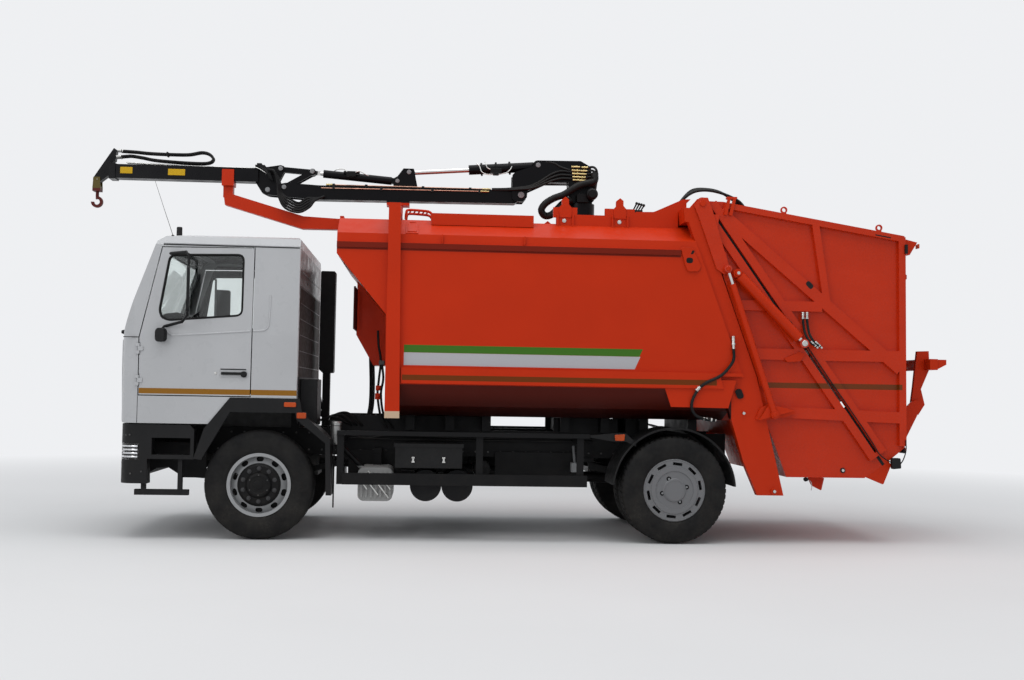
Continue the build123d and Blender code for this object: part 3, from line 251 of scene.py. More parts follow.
# Materials

class Shader:
    """A principled material with short calls for the nodes that feed it."""

    def __init__(self, name, **values):
        self.material = bpy.data.materials.new(name)
        self.material.use_nodes = True
        self.tree = self.material.node_tree
        self.principled = self.tree.nodes["Principled BSDF"]
        self.place = self.node("ShaderNodeTexCoord").outputs["Object"]
        for key, value in values.items():
            self.principled.inputs[key.replace("_", " ")].default_value = value

    def node(self, kind, inputs=(), **settings):
        """A node with its settings, each input linked to a socket or set to a value."""
        made = self.tree.nodes.new(kind)
        for key, value in settings.items():
            setattr(made, key, value)
        for key, value in dict(inputs).items():
            if isinstance(value, bpy.types.NodeSocket):
                self.tree.links.new(value, made.inputs[key])
            else:
                made.inputs[key].default_value = value
        return made

    def noise(self, scale, detail=3.0, stretch=None, rough=0.5):
        """Noise from 0 to 1, scale being waves per metre, stretched along an axis by dividing its scale."""
        where = self.place
        if stretch:
            where = self.node("ShaderNodeMapping", {"Vector": where, "Scale": stretch}).outputs[0]
        settings = {"Vector": where, "Scale": scale, "Detail": detail, "Roughness": rough}
        return self.node("ShaderNodeTexNoise", settings).outputs["Fac"]

    def math(self, how, a, b=0.0, clamp=False):
        """Result of one math node."""
        return self.node("ShaderNodeMath", {0: a, 1: b}, operation=how, use_clamp=clamp).outputs[0]

    def ramp(self, value, low, high, out_low=0.0, out_high=1.0):
        """Value mapped from low..high to out_low..out_high and held at the ends."""
        settings = {"Value": value, "From Min": low, "From Max": high, "To Min": out_low, "To Max": out_high}
        return self.node("ShaderNodeMapRange", settings, clamp=True).outputs[0]

    def mix(self, factor, a, b, how="MIX"):
        """Colour between a and b by the factor."""
        made = self.node("ShaderNodeMix", data_type="RGBA", blend_type=how)
        for key, value in ((0, factor), (6, a), (7, b)):
            if isinstance(value, bpy.types.NodeSocket):
                self.tree.links.new(value, made.inputs[key])
            else:
                made.inputs[key].default_value = value
        return made.outputs[2]

    def axes(self):
        """The three coordinates of the shaded point, in metres in the frame."""
        return self.node("ShaderNodeSeparateXYZ", {0: self.place}).outputs

    def facing(self):
        """The three parts of the surface's own direction."""
        where = self.node("ShaderNodeNewGeometry").outputs["Normal"]
        return self.node("ShaderNodeSeparateXYZ", {0: where}).outputs

    def within(self, value, low, high, soft=0.0008):
        """1 where the value lies between low and high, 0 outside."""
        rise = self.ramp(value, low - soft, low + soft)
        fall = self.ramp(value, high - soft, high + soft, 1.0, 0.0)
        return self.math("MULTIPLY", rise, fall)

    def both(self, *masks):
        """The masks multiplied together."""
        result = masks[0]
        for mask in masks[1:]:
            result = self.math("MULTIPLY", result, mask)
        return result

    def feed(self, **sockets):
        """Link sockets to the material's inputs by name."""
        for key, value in sockets.items():
            self.tree.links.new(value, self.principled.inputs[key.replace("_", " ")])

    def bump(self, *layers):
        """Bumps laid on each other: (height, strength, distance in metres)."""
        normal = None
        for height, strength, distance in layers:
            settings = {"Height": height, "Strength": strength, "Distance": distance}
            if normal is not None:
                settings["Normal"] = normal
            normal = self.node("ShaderNodeBump", settings).outputs[0]
        self.feed(Normal=normal)


def rgba(r, g, b):
    """Opaque colour in linear values."""
    return (r, g, b, 1.0)


DUST = rgba(0.30, 0.26, 0.21)


def dusty(shader, colour, amount, top=1.0):
    """Road dust that thickens downwards from a height in metres, and settles on what faces up."""
    height = shader.axes()[2]
    low = shader.ramp(height, 0.2, top, 1.0, 0.0)
    up = shader.ramp(shader.facing()[2], 0.4, 1.0, 0.0, 0.5)
    patch = shader.ramp(shader.noise(7, 5), 0.35, 0.7)
    fleck = shader.ramp(shader.noise(60, 4), 0.45, 0.65, 0.4, 1.0)
    dust = shader.both(shader.math("ADD", low, up, clamp=True), patch, fleck)
    return shader.mix(shader.math("MULTIPLY", dust, amount), colour, DUST)


def paint(name, colour, rough=0.34, dust=0.05, peel=0.06, waves=0.0, marks=(), shine=0.14):
    """Sprayed paint: slight cloudiness, dust, orange peel, and shallow waves in the sheet if wanted.

    marks are (mask function, colour) for stripes that are part of the paint, and for painted shade.
    """
    shader = Shader(name, Specular_IOR_Level=shine)
    cloud = shader.ramp(shader.noise(1.6, 4), 0.3, 0.7, 0.96, 1.04)
    tint = shader.mix(1.0, colour, shader.node("ShaderNodeCombineXYZ",
                                               {0: cloud, 1: cloud, 2: cloud}).outputs[0], "MULTIPLY")
    for mask, mark in marks:
        tint = shader.mix(mask(shader), tint, mark)
    scuff = shader.ramp(shader.noise(14, 6, rough=0.7), 0.62, 0.72, 0.0, 0.04)
    tint = shader.mix(scuff, tint, rgba(*(0.75 * c for c in colour[:3])))
    shader.feed(Base_Color=dusty(shader, tint, dust))
    shader.feed(Roughness=shader.ramp(shader.noise(9, 5), 0.3, 0.7, rough - 0.07, rough + 0.1))
    layers = [(shader.noise(420, 2), peel, 0.0006)]
    if waves:
        layers.append((shader.noise(2.4, 1, stretch=(1, 1, 1.6)), waves, 0.02))
    shader.bump(*layers)
    return shader.material


ORANGE = rgba(0.50, 0.026, 0.0025)
# Painted shade on the band under the body's top ledge
LEDGE_SHADE_ORANGE = rgba(0.16, 0.010, 0.002)
# Painted shade on the body below its lower rail, deepening towards the bottom edge
SHADED_ORANGE = rgba(0.075, 0.006, 0.002)
BOTTOM_SHADE_ORANGE = rgba(0.018, 0.003, 0.002)
GREEN = rgba(0.046, 0.145, 0.014)
WHITE = rgba(0.42, 0.42, 0.44)
CAB_WHITE = rgba(0.44, 0.445, 0.455)
NEAR_BLACK = rgba(0.004, 0.004, 0.0045)
SATIN_BLACK = rgba(0.006, 0.006, 0.0065)
CAB_LINING = rgba(0.014, 0.014, 0.015)
OCHRE = rgba(0.25, 0.105, 0.004)
OLIVE_TAPE = rgba(0.145, 0.030, 0.002)
CREAM = rgba(0.55, 0.40, 0.27)
# Painted shade: the cab's rear wall and its ribs, and the ribs on the housing before the body
SHADE_MAROON = rgba(0.050, 0.006, 0.004)


def metres_x(x):
    """A place along the truck in metres in the frame."""
    return (x - X_MID) / 1000


def side_band(x0, x1, z0, z1, half=1206, slant=0.0):
    """Mask of a stripe on the truck's sides; slant moves its ends rearwards with height."""
    def mask(shader):
        x, y, z = shader.axes()
        side = shader.math("GREATER_THAN", shader.math("ABSOLUTE", y), half / 1000)
        along = shader.math("SUBTRACT", x, shader.math("MULTIPLY", z, slant)) if slant else x
        return shader.both(side, shader.within(along, metres_x(x0), metres_x(x1)),
                           shader.within(z, z0 / 1000, z1 / 1000))
    return mask


def lining(shader):
    """Mask of the cab's inside: within its walls, behind the sloping front and above the floor."""
    x, y, z = shader.axes()
    wide = shader.math("ABSOLUTE", y)
    lean = shader.math("ADD", shader.ramp(z, 1.95, 2.80, 0.0, 0.043), shader.ramp(z, 2.79, 2.87, 0.0, 0.10))
    front = shader.ramp(z, 1.925, 2.835, metres_x(-1292), metres_x(-977))
    corner = shader.ramp(shader.math("SUBTRACT", x, front), 0.0, 0.16, 0.09, 0.0)
    wall = shader.math("SUBTRACT", shader.math("SUBTRACT", 1.205, lean), corner)
    return shader.both(shader.math("LESS_THAN", wide, wall), shader.math("GREATER_THAN", x, front),
                       shader.math("LESS_THAN", x, metres_x(318)), shader.within(z, 1.395, 2.85))


def ceiling(shader):
    """Mask of the cab's ceiling, below the roof's slanting edges."""
    x, y, z = shader.axes()
    wide = shader.math("ABSOLUTE", y)
    edge = shader.math("MULTIPLY", shader.math("MAXIMUM", shader.math("SUBTRACT", wide, 0.9), 0.0), 0.1724)
    return shader.both(shader.math("LESS_THAN", shader.math("ADD", z, edge), 2.905),
                       shader.math("GREATER_THAN", z, 2.84), shader.math("LESS_THAN", wide, 1.10),
                       shader.within(x, metres_x(-840), metres_x(300)))


def cab_back_shade(shader):
    """Mask of the panel on the cab's rear wall, which faces the body, painted maroon as its shade and
    reflection.
    """
    x, y, z = shader.axes()
    return shader.both(shader.math("GREATER_THAN", x, metres_x(338)), shader.within(z, 1.16, 2.80),
                       shader.math("LESS_THAN", shader.math("ABSOLUTE", y), 1.13))


def cab_marks():
    """Ochre stripe on the cab's sides, painted shade on the rear wall, lining and ceiling."""
    return [(side_band(-1133, 343, 1376, 1428, 1180), OCHRE), (cab_back_shade, SHADE_MAROON),
            (lining, CAB_LINING), (ceiling, CAB_LINING)]


def track_groove_shade(shader):
    """Mask of the open track in the tailgate's side beams, by distance from the carriage's line: its floor is
    painted black as shade.
    """
    x, y, z = shader.axes()
    along = shader.math("SUBTRACT", x, metres_x(TRUNNION[0]))
    up = shader.math("SUBTRACT", z, TRUNNION[1] / 1000)
    away = shader.math("ADD", shader.math("MULTIPLY", along, math.sin(SLOPE)),
                       shader.math("MULTIPLY", up, math.cos(SLOPE)))
    deep = shader.math("LESS_THAN", shader.math("ABSOLUTE", y), 1.1275)
    return shader.both(shader.within(away, -0.0155, 0.0155, 0.0004), deep,
                       shader.math("GREATER_THAN", shader.math("ABSOLUTE", y), 1.05))


def below(level, soft=30, x0=-9000, x1=9000, half=0):
    """Mask of what lies below a height between two places along the truck and outside a half width."""
    def mask(shader):
        x, y, z = shader.axes()
        low = shader.ramp(z, (level - soft) / 1000, (level + soft) / 1000, 1.0, 0.0)
        side = shader.math("GREATER_THAN", shader.math("ABSOLUTE", y), half / 1000)
        return shader.both(low, side, shader.within(x, metres_x(x0), metres_x(x1)))
    return mask


def above(level, x0, x1):
    """Mask of what lies above a height between two places along the truck."""
    def mask(shader):
        x, _, z = shader.axes()
        return shader.both(shader.math("GREATER_THAN", z, level / 1000),
                           shader.within(x, metres_x(x0), metres_x(x1)))
    return mask


def body_marks():
    """Green over white stripe with slanted ends, tape on the lower rail, and painted shade on the ledge band
    and under the lower rail.
    """
    shift = 0.45 * 1886
    return [(side_band(1353, 3400, 1813, 1886), GREEN), (side_band(1353, 3400, 1690, 1812), WHITE),
            (side_band(3400 - shift, 3672 - shift, 1813, 1886, slant=0.45), GREEN),
            (side_band(3400 - shift, 3682 - shift, 1690, 1812, slant=0.45), WHITE),
            # The band under the top ledge is painted shade
            (side_band(690, 4036, 2795, 2866), LEDGE_SHADE_ORANGE), (side_band(1340, 4400, 1546, 1598), OLIVE_TAPE),
            # Painted shade below the lower rail, darker again towards the body's bottom
            (below(1508, 6, 1200, 4560), SHADED_ORANGE), (below(1320, 110, 1200, 4560), BOTTOM_SHADE_ORANGE)]


cab_paint = paint("white_paint", CAB_WHITE, 0.3, dust=0.03, peel=0.03, marks=cab_marks(), shine=0.25)
body_paint = paint("orange_paint", ORANGE, 0.36, dust=0.03, peel=0.05, waves=0.12, marks=body_marks())
rest_paint = paint("orange_portal_paint", ORANGE, 0.36, dust=0.03, peel=0.05,
                   marks=[(below(1246, 2, 1170, 1335), CREAM), (above(3425, 1100, 1380), NEAR_BLACK)])
gate_paint = paint("orange_tailgate_paint", ORANGE, 0.28, dust=0.03, peel=0.05, waves=0.9, shine=0.22,
                   # The track's floor is painted black as the shade in the groove
                   marks=[(side_band(4899, 6290, 1534, 1588, 1116), OLIVE_TAPE), (track_groove_shade, NEAR_BLACK)])
trim_paint = paint("orange_bracket_paint", ORANGE, 0.36, dust=0.03, peel=0.05)
frame_paint = paint("black_chassis_paint", SATIN_BLACK, 0.5, dust=0.04, peel=0.1)
crane_paint = paint("black_crane_paint", rgba(0.0035, 0.0035, 0.0045), 0.3, dust=0.01, peel=0.05, shine=0.1)
grey_paint = paint("grey_wheel_paint", rgba(0.15, 0.152, 0.158), 0.42, dust=0.06, peel=0.06, shine=0.3)
silver_paint = paint("silver_wheel_paint", rgba(0.30, 0.305, 0.31), 0.38, dust=0.06, peel=0.06, shine=0.3)
tank_paint = paint("black_tank_paint", rgba(0.007, 0.007, 0.008), 0.4, dust=0.05, peel=0.06)


def plastic(name, colour, rough=0.55, grain=0.25, dust=0.04, marks=(), shine=0.2):
    """Moulded plastic with a fine grain and road dust, and painted where a mark says."""
    shader = Shader(name, Specular_IOR_Level=shine)
    cloud = shader.mix(shader.ramp(shader.noise(3, 4), 0.35, 0.65), colour,
                       rgba(*(c * 1.35 + 0.001 for c in colour[:3])))
    for mask, mark in marks:
        cloud = shader.mix(mask(shader), cloud, mark)
    shader.feed(Base_Color=dusty(shader, cloud, dust, 1.1))
    shader.feed(Roughness=shader.ramp(shader.noise(25, 4), 0.3, 0.7, rough - 0.08, rough + 0.1))
    shader.bump((shader.noise(900, 2), grain, 0.0004))
    return shader.material


def metal(name, colour, rough, brushed=(1, 1, 1), grain=0.15, dust=0.0):
    """Bare metal with fine tool marks drawn out along an axis."""
    shader = Shader(name, Metallic=1.0)
    tone = shader.mix(shader.ramp(shader.noise(12, 5), 0.35, 0.65), colour,
                      rgba(*(c * 0.72 for c in colour[:3])))
    shader.feed(Base_Color=dusty(shader, tone, dust) if dust else tone)
    marks = shader.noise(300, 3, stretch=brushed)
    shader.feed(Roughness=shader.ramp(marks, 0.3, 0.7, rough - 0.06, rough + 0.1))
    shader.bump((marks, grain, 0.0003))
    return shader.material


def rod_finish(name, eye, reach, colour):
    """Hard chrome with fine rings, painted where the point lies within reach of the eye's middle."""
    shader = Shader(name)
    x, _, z = shader.axes()
    off = shader.node("ShaderNodeCombineXYZ", {0: shader.math("SUBTRACT", x, metres_x(eye[0])),
                                               2: shader.math("SUBTRACT", z, eye[1] / 1000)}).outputs[0]
    away = shader.node("ShaderNodeVectorMath", {0: off}, operation="LENGTH").outputs["Value"]
    bare = shader.math("GREATER_THAN", away, reach / 1000)
    fine = shader.noise(260, 3, stretch=(6, 1, 1))
    shader.feed(Base_Color=shader.mix(bare, colour, rgba(0.62, 0.61, 0.60)), Metallic=bare,
                Roughness=shader.ramp(bare, 0, 1, 0.4, 0.14))
    shader.bump((fine, 0.05, 0.0002))
    return shader.material


def rubber(name, colour=rgba(0.008, 0.008, 0.0085), rough=0.75, dust=0.07):
    """Rubber with a dull bloom and dust."""
    shader = Shader(name, Specular_IOR_Level=0.16)
    tone = shader.mix(shader.ramp(shader.noise(5, 5), 0.4, 0.62), colour, rgba(0.014, 0.0135, 0.013))
    shader.feed(Base_Color=dusty(shader, tone, dust, 1.0))
    shader.feed(Roughness=shader.ramp(shader.noise(30, 4), 0.3, 0.7, rough - 0.1, rough + 0.1))
    shader.bump((shader.noise(500, 3), 0.3, 0.0005))
    return shader.material


def clear(name, colour, rough=0.02):
    """Window glass or a lamp's lens, with a faint film of dust."""
    shader = Shader(name, Transmission_Weight=1.0, IOR=1.45, Specular_IOR_Level=0.5)
    film = shader.ramp(shader.noise(6, 5), 0.4, 0.8, 0.0, 0.08)
    shader.feed(Base_Color=shader.mix(film, colour, rgba(0.5, 0.48, 0.45)))
    shader.feed(Roughness=shader.ramp(shader.noise(4, 4), 0.4, 0.8, rough, rough + 0.05))
    return shader.material


black_plastic = plastic("black_moulded_plastic", SATIN_BLACK, 0.5)
soft_black = plastic("black_rubber_seal", rgba(0.005, 0.005, 0.005), 0.7, 0.1, 0.02)
interior_cloth = plastic("dark_cab_trim", CAB_LINING, 0.8, 0.5, 0.0)
tyre_rubber = rubber("tyre_rubber")
hose_rubber = rubber("hose_rubber", SATIN_BLACK, 0.5, 0.03)
steel = metal("zinc_plated_steel", rgba(0.62, 0.62, 0.60), 0.28)
brass = metal("yellow_zinc", rgba(0.66, 0.52, 0.24), 0.3)
worn_steel = metal("scraped_steel", rgba(0.34, 0.32, 0.30), 0.45, (6, 1, 1), 0.4, 0.4)
casting = metal("bare_casting", rgba(0.10, 0.10, 0.10), 0.6, (1, 1, 1), 0.5, 0.4)
reflector = metal("lamp_reflector", rgba(0.85, 0.85, 0.86), 0.12)
glass = clear("window_glass", rgba(0.86, 0.90, 0.89))
lens = clear("clear_lens", rgba(0.95, 0.96, 0.97), 0.05)
amber_lens = plastic("amber_lens", rgba(0.36, 0.045, 0.003), 0.22, 0.05, 0.03, shine=0.3)
red_lens = plastic("red_lens", rgba(0.45, 0.01, 0.01), 0.22, 0.05, 0.03, shine=0.4)
blade_paint = paint("dark_packer_paint", rgba(0.035, 0.012, 0.008), 0.55, peel=0.1)
wheel_black = paint("black_hub_paint", rgba(0.005, 0.005, 0.0055), 0.45, peel=0.1)
nut_paint = paint("dark_grey_nut_paint", rgba(0.035, 0.035, 0.037), 0.4, peel=0.1, shine=0.35)
shade_maroon_paint = paint("shade_maroon_panel_paint", SHADE_MAROON, 0.35)
copper = metal("copper_tinted_pipe", rgba(0.52, 0.30, 0.22), 0.3)
silencer_paint = paint("silver_silencer", rgba(0.30, 0.30, 0.295), 0.45, dust=0.1,
                       marks=[(above(694, 600, 1400), NEAR_BLACK)])
# A dull dark sheet that stands for the shade on the cab's rear wall
back_shade_panel = plastic("dark_back_shade_panel", rgba(0.030, 0.016, 0.013), 0.6, shine=0.06)
bright_plate = metal("bright_tread_plate", rgba(0.40, 0.40, 0.395), 0.4, (1, 1, 1), 0.2, 0.05)
yellow_plate = paint("yellow_plate", rgba(0.55, 0.33, 0.01), 0.4)
hook_paint = paint("olive_and_red_hook_paint", rgba(0.10, 0.075, 0.02), 0.45,
                   marks=[(below(3497, 4), rgba(0.085, 0.012, 0.010))])
grey_fittings = paint("grey_fittings_paint", rgba(0.22, 0.225, 0.23), 0.45, shine=0.3)
bumper_finish = plastic("black_bumper_with_white_ends", SATIN_BLACK, 0.5, marks=[
    (lambda shader: shader.both(shader.math("GREATER_THAN", shader.axes()[2], 1.112),
                                shader.math("GREATER_THAN", shader.math("ABSOLUTE", shader.axes()[1]), 0.84)),
     CAB_WHITE)])

NODE_MATERIALS = {
    "frame": frame_paint, "engine": casting, "front_axle": frame_paint, "rear_axle": frame_paint,
    "air_tanks": tank_paint, "fuel_tank": tank_paint, "battery_box": black_plastic, "exhaust": silencer_paint,
    "air_intake": black_plastic, "side_guards": frame_paint, "mudguards": black_plastic, "lamps": lens,
    "cab_shell": cab_paint, "windscreen": glass, "cab_interior": interior_cloth, "bumper": bumper_finish,
    "body_shell": body_paint, "rear_frame": body_paint, "crane_rests": rest_paint, "crane_base": body_paint,
    "ejector_plate": body_paint, "tie_rod": casting, "gate_shell": gate_paint, "gate_frame": gate_paint,
    "tail_lamps": body_paint, "packer_carriage": blade_paint, "packer_blade": worn_steel,
    "packer_barrels": body_paint, "lift_barrels": body_paint, "lifter_mount": trim_paint,
    "bin_lifter": body_paint,
    "crane_column": crane_paint, "crane_boom": crane_paint, "main_barrel": crane_paint,
    "boom_link": crane_paint, "jib_link": crane_paint, "crane_jib": crane_paint, "jib_barrel": crane_paint,
    "jib_extension": crane_paint, "hook": hook_paint,
}
# Rods whose eye knuckle is painted: node, eye (x, z), reach of the paint in millimetres, its colour
ROD_EYES = [("packer_rods", TRUNNION, 52, ORANGE), ("lift_rods", LIFT_EYE, 44, ORANGE),
            ("main_rod", MAIN_EYE, 62, NEAR_BLACK), ("jib_rod", JIB_EYE, 52, NEAR_BLACK)]
for node_name, eye, reach, colour in ROD_EYES:
    NODE_MATERIALS[node_name] = rod_finish(f"{node_name}_finish", eye, reach, colour)
for side_name, _ in SIDES:
    NODE_MATERIALS.update({
        f"knuckle_{side_name}": casting, f"rim_front_{side_name}": silver_paint,
        f"rim_rear_{side_name}": grey_paint, f"door_{side_name}": cab_paint,
        f"door_glass_{side_name}": glass, f"mirror_{side_name}": black_plastic})
for node_name, node_material in NODE_MATERIALS.items():
    made = NODES[node_name]
    made.data.materials.clear()
    made.data.materials.append(node_material)


# Tyres

def tyre_shape(x, y_in, side, width, drive):
    """Tyre as a surface of turn t and profile v, pressed in by grooves and standing out in ribs.

    The wall's profile is a smooth line through (across, radius); the tread sinks where zigzag grooves
    run, at across = lane + 5 sin(40 t), and on drive tyres also where bars cross between the lanes.
    """
    half = [(26, BEAD_R), (22, 300), (9, 330), (1, 372), (0, 408), (5, 452), (18, 494), (36, 513), (62, 519)]
    profile = np.array(half + [(width / 2, TYRE_R)] + [(width - a, r) for a, r in reversed(half)], float)
    line = smooth_line(profile, 96)
    t = np.linspace(0, 2 * np.pi, 420, endpoint=False)[:, None]
    across, radius = line[None, :, 0] + 0 * t, line[None, :, 1] + 0 * t
    tread = np.clip((radius - 505) / 8, 0, 1)
    lanes = width / 2 + width * np.array([-0.27, -0.09, 0.09, 0.27] if not drive else [-0.14, 0.14])
    sunk = np.zeros_like(radius)
    for k, lane in enumerate(lanes):
        away = np.abs(across - lane - 5 * np.sin(40 * t + k * 2.1))
        sunk = np.maximum(sunk, np.clip((9 - away) / 3.5, 0, 1))
    bars = np.clip((np.cos(56 * t + 0.03 * np.abs(across - width / 2)) - 0.62) * 4, 0, 1)
    outer = np.clip((np.abs(across - width / 2) - width * (0.2 if drive else 0.36)) / 6, 0, 1)
    sunk = np.maximum(sunk, bars * outer * (1.0 if drive else 0.5))
    sipes = np.clip((np.cos(112 * t + 1.3) - 0.93) * 12, 0, 0.3)
    radius = radius - tread * (13 * sunk + 10 * sipes)
    wall = np.where(across < width / 2, -1.0, 1.0)
    ring = np.exp(-((radius - 336) / 3.5) ** 2) * 3 + np.exp(-((radius - 470) / 4) ** 2) * 2.5
    ribs = np.clip(np.cos(180 * t), 0, 1) * np.clip(1 - np.abs(radius - 486) / 9, 0, 1) * 1.6
    across = across + wall * (ring + ribs) * (tread < 0.5)
    y = side * (y_in + across)
    points = np.stack([x + radius * np.sin(t), y, TYRE_R + radius * np.cos(t)], -1).reshape(-1, 3)
    return points, grid_faces(len(t), line.shape[0], close_rows=True, close_columns=True)


for side_name, side in SIDES:
    front = piece(f"steer_tyre_{side_name}", [tyre_shape(0, FRONT_TYRE_IN, side, FRONT_TYRE_W, False)],
                  tyre_rubber, f"wheel_front_{side_name}", crease=50)
    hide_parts(f"tyre_front_{side_name}")
    twins = [tyre_shape(WHEELBASE, TWIN_IN + shift, side, TWIN_TYRE_W, True)
             for shift in (0, TWIN_TYRE_W + TWIN_GAP)]
    rear = piece(f"twin_tyres_{side_name}", twins, tyre_rubber, f"wheel_rear_{side_name}", crease=50)
    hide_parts(f"tyres_rear_{side_name}")


# Wheels: hub discs, nuts and the rings round them

def wheel_circle(x, radius, count, first=0.0):
    """Points (x, z) spread evenly on a circle round a wheel's axle, from the angle first in degrees."""
    t = np.radians(first + np.arange(count) * 360 / count)
    return np.stack([x + radius * np.cos(t), TYRE_R + radius * np.sin(t)], -1)


def front_wheel_trim(side, side_name):
    """Black hub disc with ten nuts and a cap, seen inside the light ring of the disc, and a black ring behind
    the disc's holes that stands for their shade.
    """
    w = FRONT_TYRE_W
    out = lambda a: side * (FRONT_TYRE_IN + a)
    disc = [(w - 46, 0), (w - 43, 207), (w - 22, 180), (w - 21, 128), (w - 12, 120), (w + 5, 111),
            (w + 9, 104), (w + 9, 84), (w + 6, 80), (w + 7, 0)]
    hub = lathe([(out(a), r) for a, r in disc], (0, 0, TYRE_R), 72)
    dimple = lathe([(out(a), r) for a, r in [(w + 4, 0), (w + 4, 46), (w + 10, 44), (w + 13, 30),
                                             (w + 14, 0)]], (0, 0, TYRE_R), 48)
    # Black ring behind the disc's holes, shaped as a dust shield: painted shade seen through the holes
    drum = lathe([(out(a), r) for a, r in [(w - 134, 96), (w - 134, 262), (w - 128, 262), (w - 128, 96)]],
                 (0, 0, TYRE_R), 72)
    piece(f"hub_disc_{side_name}", [hub, dimple, drum], wheel_black, f"wheel_front_{side_name}",
          1.2)
    studs = wheel_circle(0, 156, 10, 18)
    nuts = hexes(studs, 34, *sorted((out(w - 22), out(w - 2))))
    collar = [(w - 23, 0), (w - 23, 22), (w - 18, 21), (w - 17, 0)]
    rings = [lathe([(out(a), r) for a, r in collar], (x, 0, z), 20) for x, z in studs]
    tips = [lathe([(out(a), r) for a, r in [(w - 6, 0), (w - 6, 9), (w + 4, 9), (w + 6, 6), (w + 6, 0)]],
                  (x, 0, z), 12) for x, z in studs]
    piece(f"hub_nuts_{side_name}", nuts + rings + tips, nut_paint, f"wheel_front_{side_name}", 1.5)
    cap_bolts = hexes(wheel_circle(0, 95, 6, 30), 13, *sorted((out(w + 4), out(w + 11))))
    valve = tube([(-205, out(w - 60), TYRE_R + 95), (-214, out(w - 30), TYRE_R + 99)], 5, 10)
    piece(f"hub_bolts_{side_name}", cap_bolts + [valve], casting, f"wheel_front_{side_name}", 0.6)


def rear_wheel_trim(side, side_name):
    """Four sunk nuts on the flat cover, and the cover's rolled edge and inner ring."""
    w = 2 * TWIN_TYRE_W + TWIN_GAP
    out = lambda a: side * (TWIN_IN + a)
    t = np.radians([15, 117, 194, 296])
    studs = np.stack([WHEELBASE + 124 * np.cos(t), TYRE_R + 124 * np.sin(t)], -1)
    # Black rings round the sunk nuts: painted shade in the nut recesses
    recess_shades = [lathe([(out(a), r) for a, r in [(w - 16, 0), (w - 16, 24), (w - 10, 22), (w - 9, 16),
                                            (w - 13, 14), (w - 13, 0)]], (x, 0, z), 24) for x, z in studs]
    nuts = hexes(studs, 21, *sorted((out(w - 14), out(w - 4))))
    piece(f"cover_recess_shades_{side_name}", recess_shades, wheel_black, f"wheel_rear_{side_name}", 0.6)
    piece(f"cover_nuts_{side_name}", nuts, grey_fittings, f"wheel_rear_{side_name}", 1.0)
    edge = hoop(np.column_stack([wheel_circle(WHEELBASE, 295, 72)[:, 0], np.full(72, out(w - 14)),
                                 wheel_circle(WHEELBASE, 295, 72)[:, 1]]), 4, (0, 1, 0))
    inner = hoop(np.column_stack([wheel_circle(WHEELBASE, 96, 48)[:, 0], np.full(48, out(w - 2)),
                                  wheel_circle(WHEELBASE, 96, 48)[:, 1]]), 3, (0, 1, 0))
    piece(f"cover_rings_{side_name}", [edge, inner], grey_paint, f"wheel_rear_{side_name}")


for side_name, side in SIDES:
    front_wheel_trim(side, side_name)
    rear_wheel_trim(side, side_name)


# Cab

def cab_side(z):
    """How far the cab's side stands from the middle: it leans in evenly over a rise above the waist."""
    half, waist, rise, lean = 1235, 1950, 850, 43
    return half - np.clip((np.asarray(z, float) - waist) / rise, 0, 1) * lean


def cab_front(z):
    """Where the cab's front lies at a height: it slopes back evenly from the foot of the screen."""
    foot_x, foot_z, back, rise = -1325, 1925, 315, 910
    return foot_x + (np.asarray(z, float) - foot_z) * back / rise


def on_side(points, side, out=0.0):
    """Side-view points (x, z) laid on the cab's side, standing out by a little."""
    p = np.asarray(points, float)
    return np.column_stack([p[:, 0], side * (cab_side(p[:, 1]) + out), p[:, 1]])


WINDOW = [(-885, 2700), (-970, 2135), (-905, 2070), (-190, 2132), (-190, 2715)]
SCREEN = [(-1085, 2010), (1085, 2010), (1020, 2765), (-1020, 2765)]
CREASE_DOOR = [(-905, 2010), (-888, 1965), (-850, 1938), (-820, 1932), (-600, 1946), (-350, 1965),
               (-106, 1984)]
CREASE_REAR = [(-80, 1986), (0, 1992), (38, 2002), (60, 2035), (68, 2090), (72, 2200), (74, 2330)]


def door_trim(side, side_name):
    """Window seal, crease, handle recess with a painted shadow line along its top, and lock of one door."""
    body = f"door_{side_name}"
    seal = hoop(on_side(round_corners(WINDOW, 62), side, -3), 11, (0, 1, 0), 10, 0.6)
    channel = hoop(on_side(round_corners(WINDOW, 62), side, -16), 13, (0, 1, 0), 10, 0.8)
    piece(f"window_seal_{side_name}", [seal, channel], soft_black, body)
    crease = tube(on_side(smooth_line(CREASE_DOOR, 40), side, -2), 10, 12)
    pocket = round_corners([(-384, 1540), (-384, 1628), (-128, 1628), (-128, 1540)], 20)
    lip = hoop(on_side(pocket, side, -1.5), 4, (0, 1, 0))
    piece(f"door_crease_{side_name}", [crease, lip], cab_paint, body)
    # Thin black strip along the recess's top edge: a painted shadow
    shadow_line = prism(round_corners([(-376, 1612), (-376, 1622), (-136, 1622), (-136, 1612)], 4),
                 *sorted((side * 1234, side * 1236.5)))
    knob = lathe([(side * a, r) for a, r in [(1232, 0), (1232, 30), (1256, 28), (1262, 22), (1262, 0)]],
                 (-156, 0, 1572), 32)
    piece(f"handle_lock_{side_name}", [shadow_line, knob], black_plastic, body, 1.0)
    lock = lathe([(side * a, r) for a, r in [(1234, 0), (1234, 13), (1239, 12), (1240, 6), (1238, 4),
                                             (1238, 0)]], (-420, 0, 1578), 24)
    piece(f"door_lock_{side_name}", [lock], steel, body)
    gap = hoop(on_side([(-955 + 12, 2770 - 12), (-1140 + 10, 1905), (-1135 + 10, 1375), (-107, 1375),
                        (-102, 2768)], side, -20), 9, (0, 1, 0))
    piece(f"door_seal_{side_name}", [gap], soft_black, body)


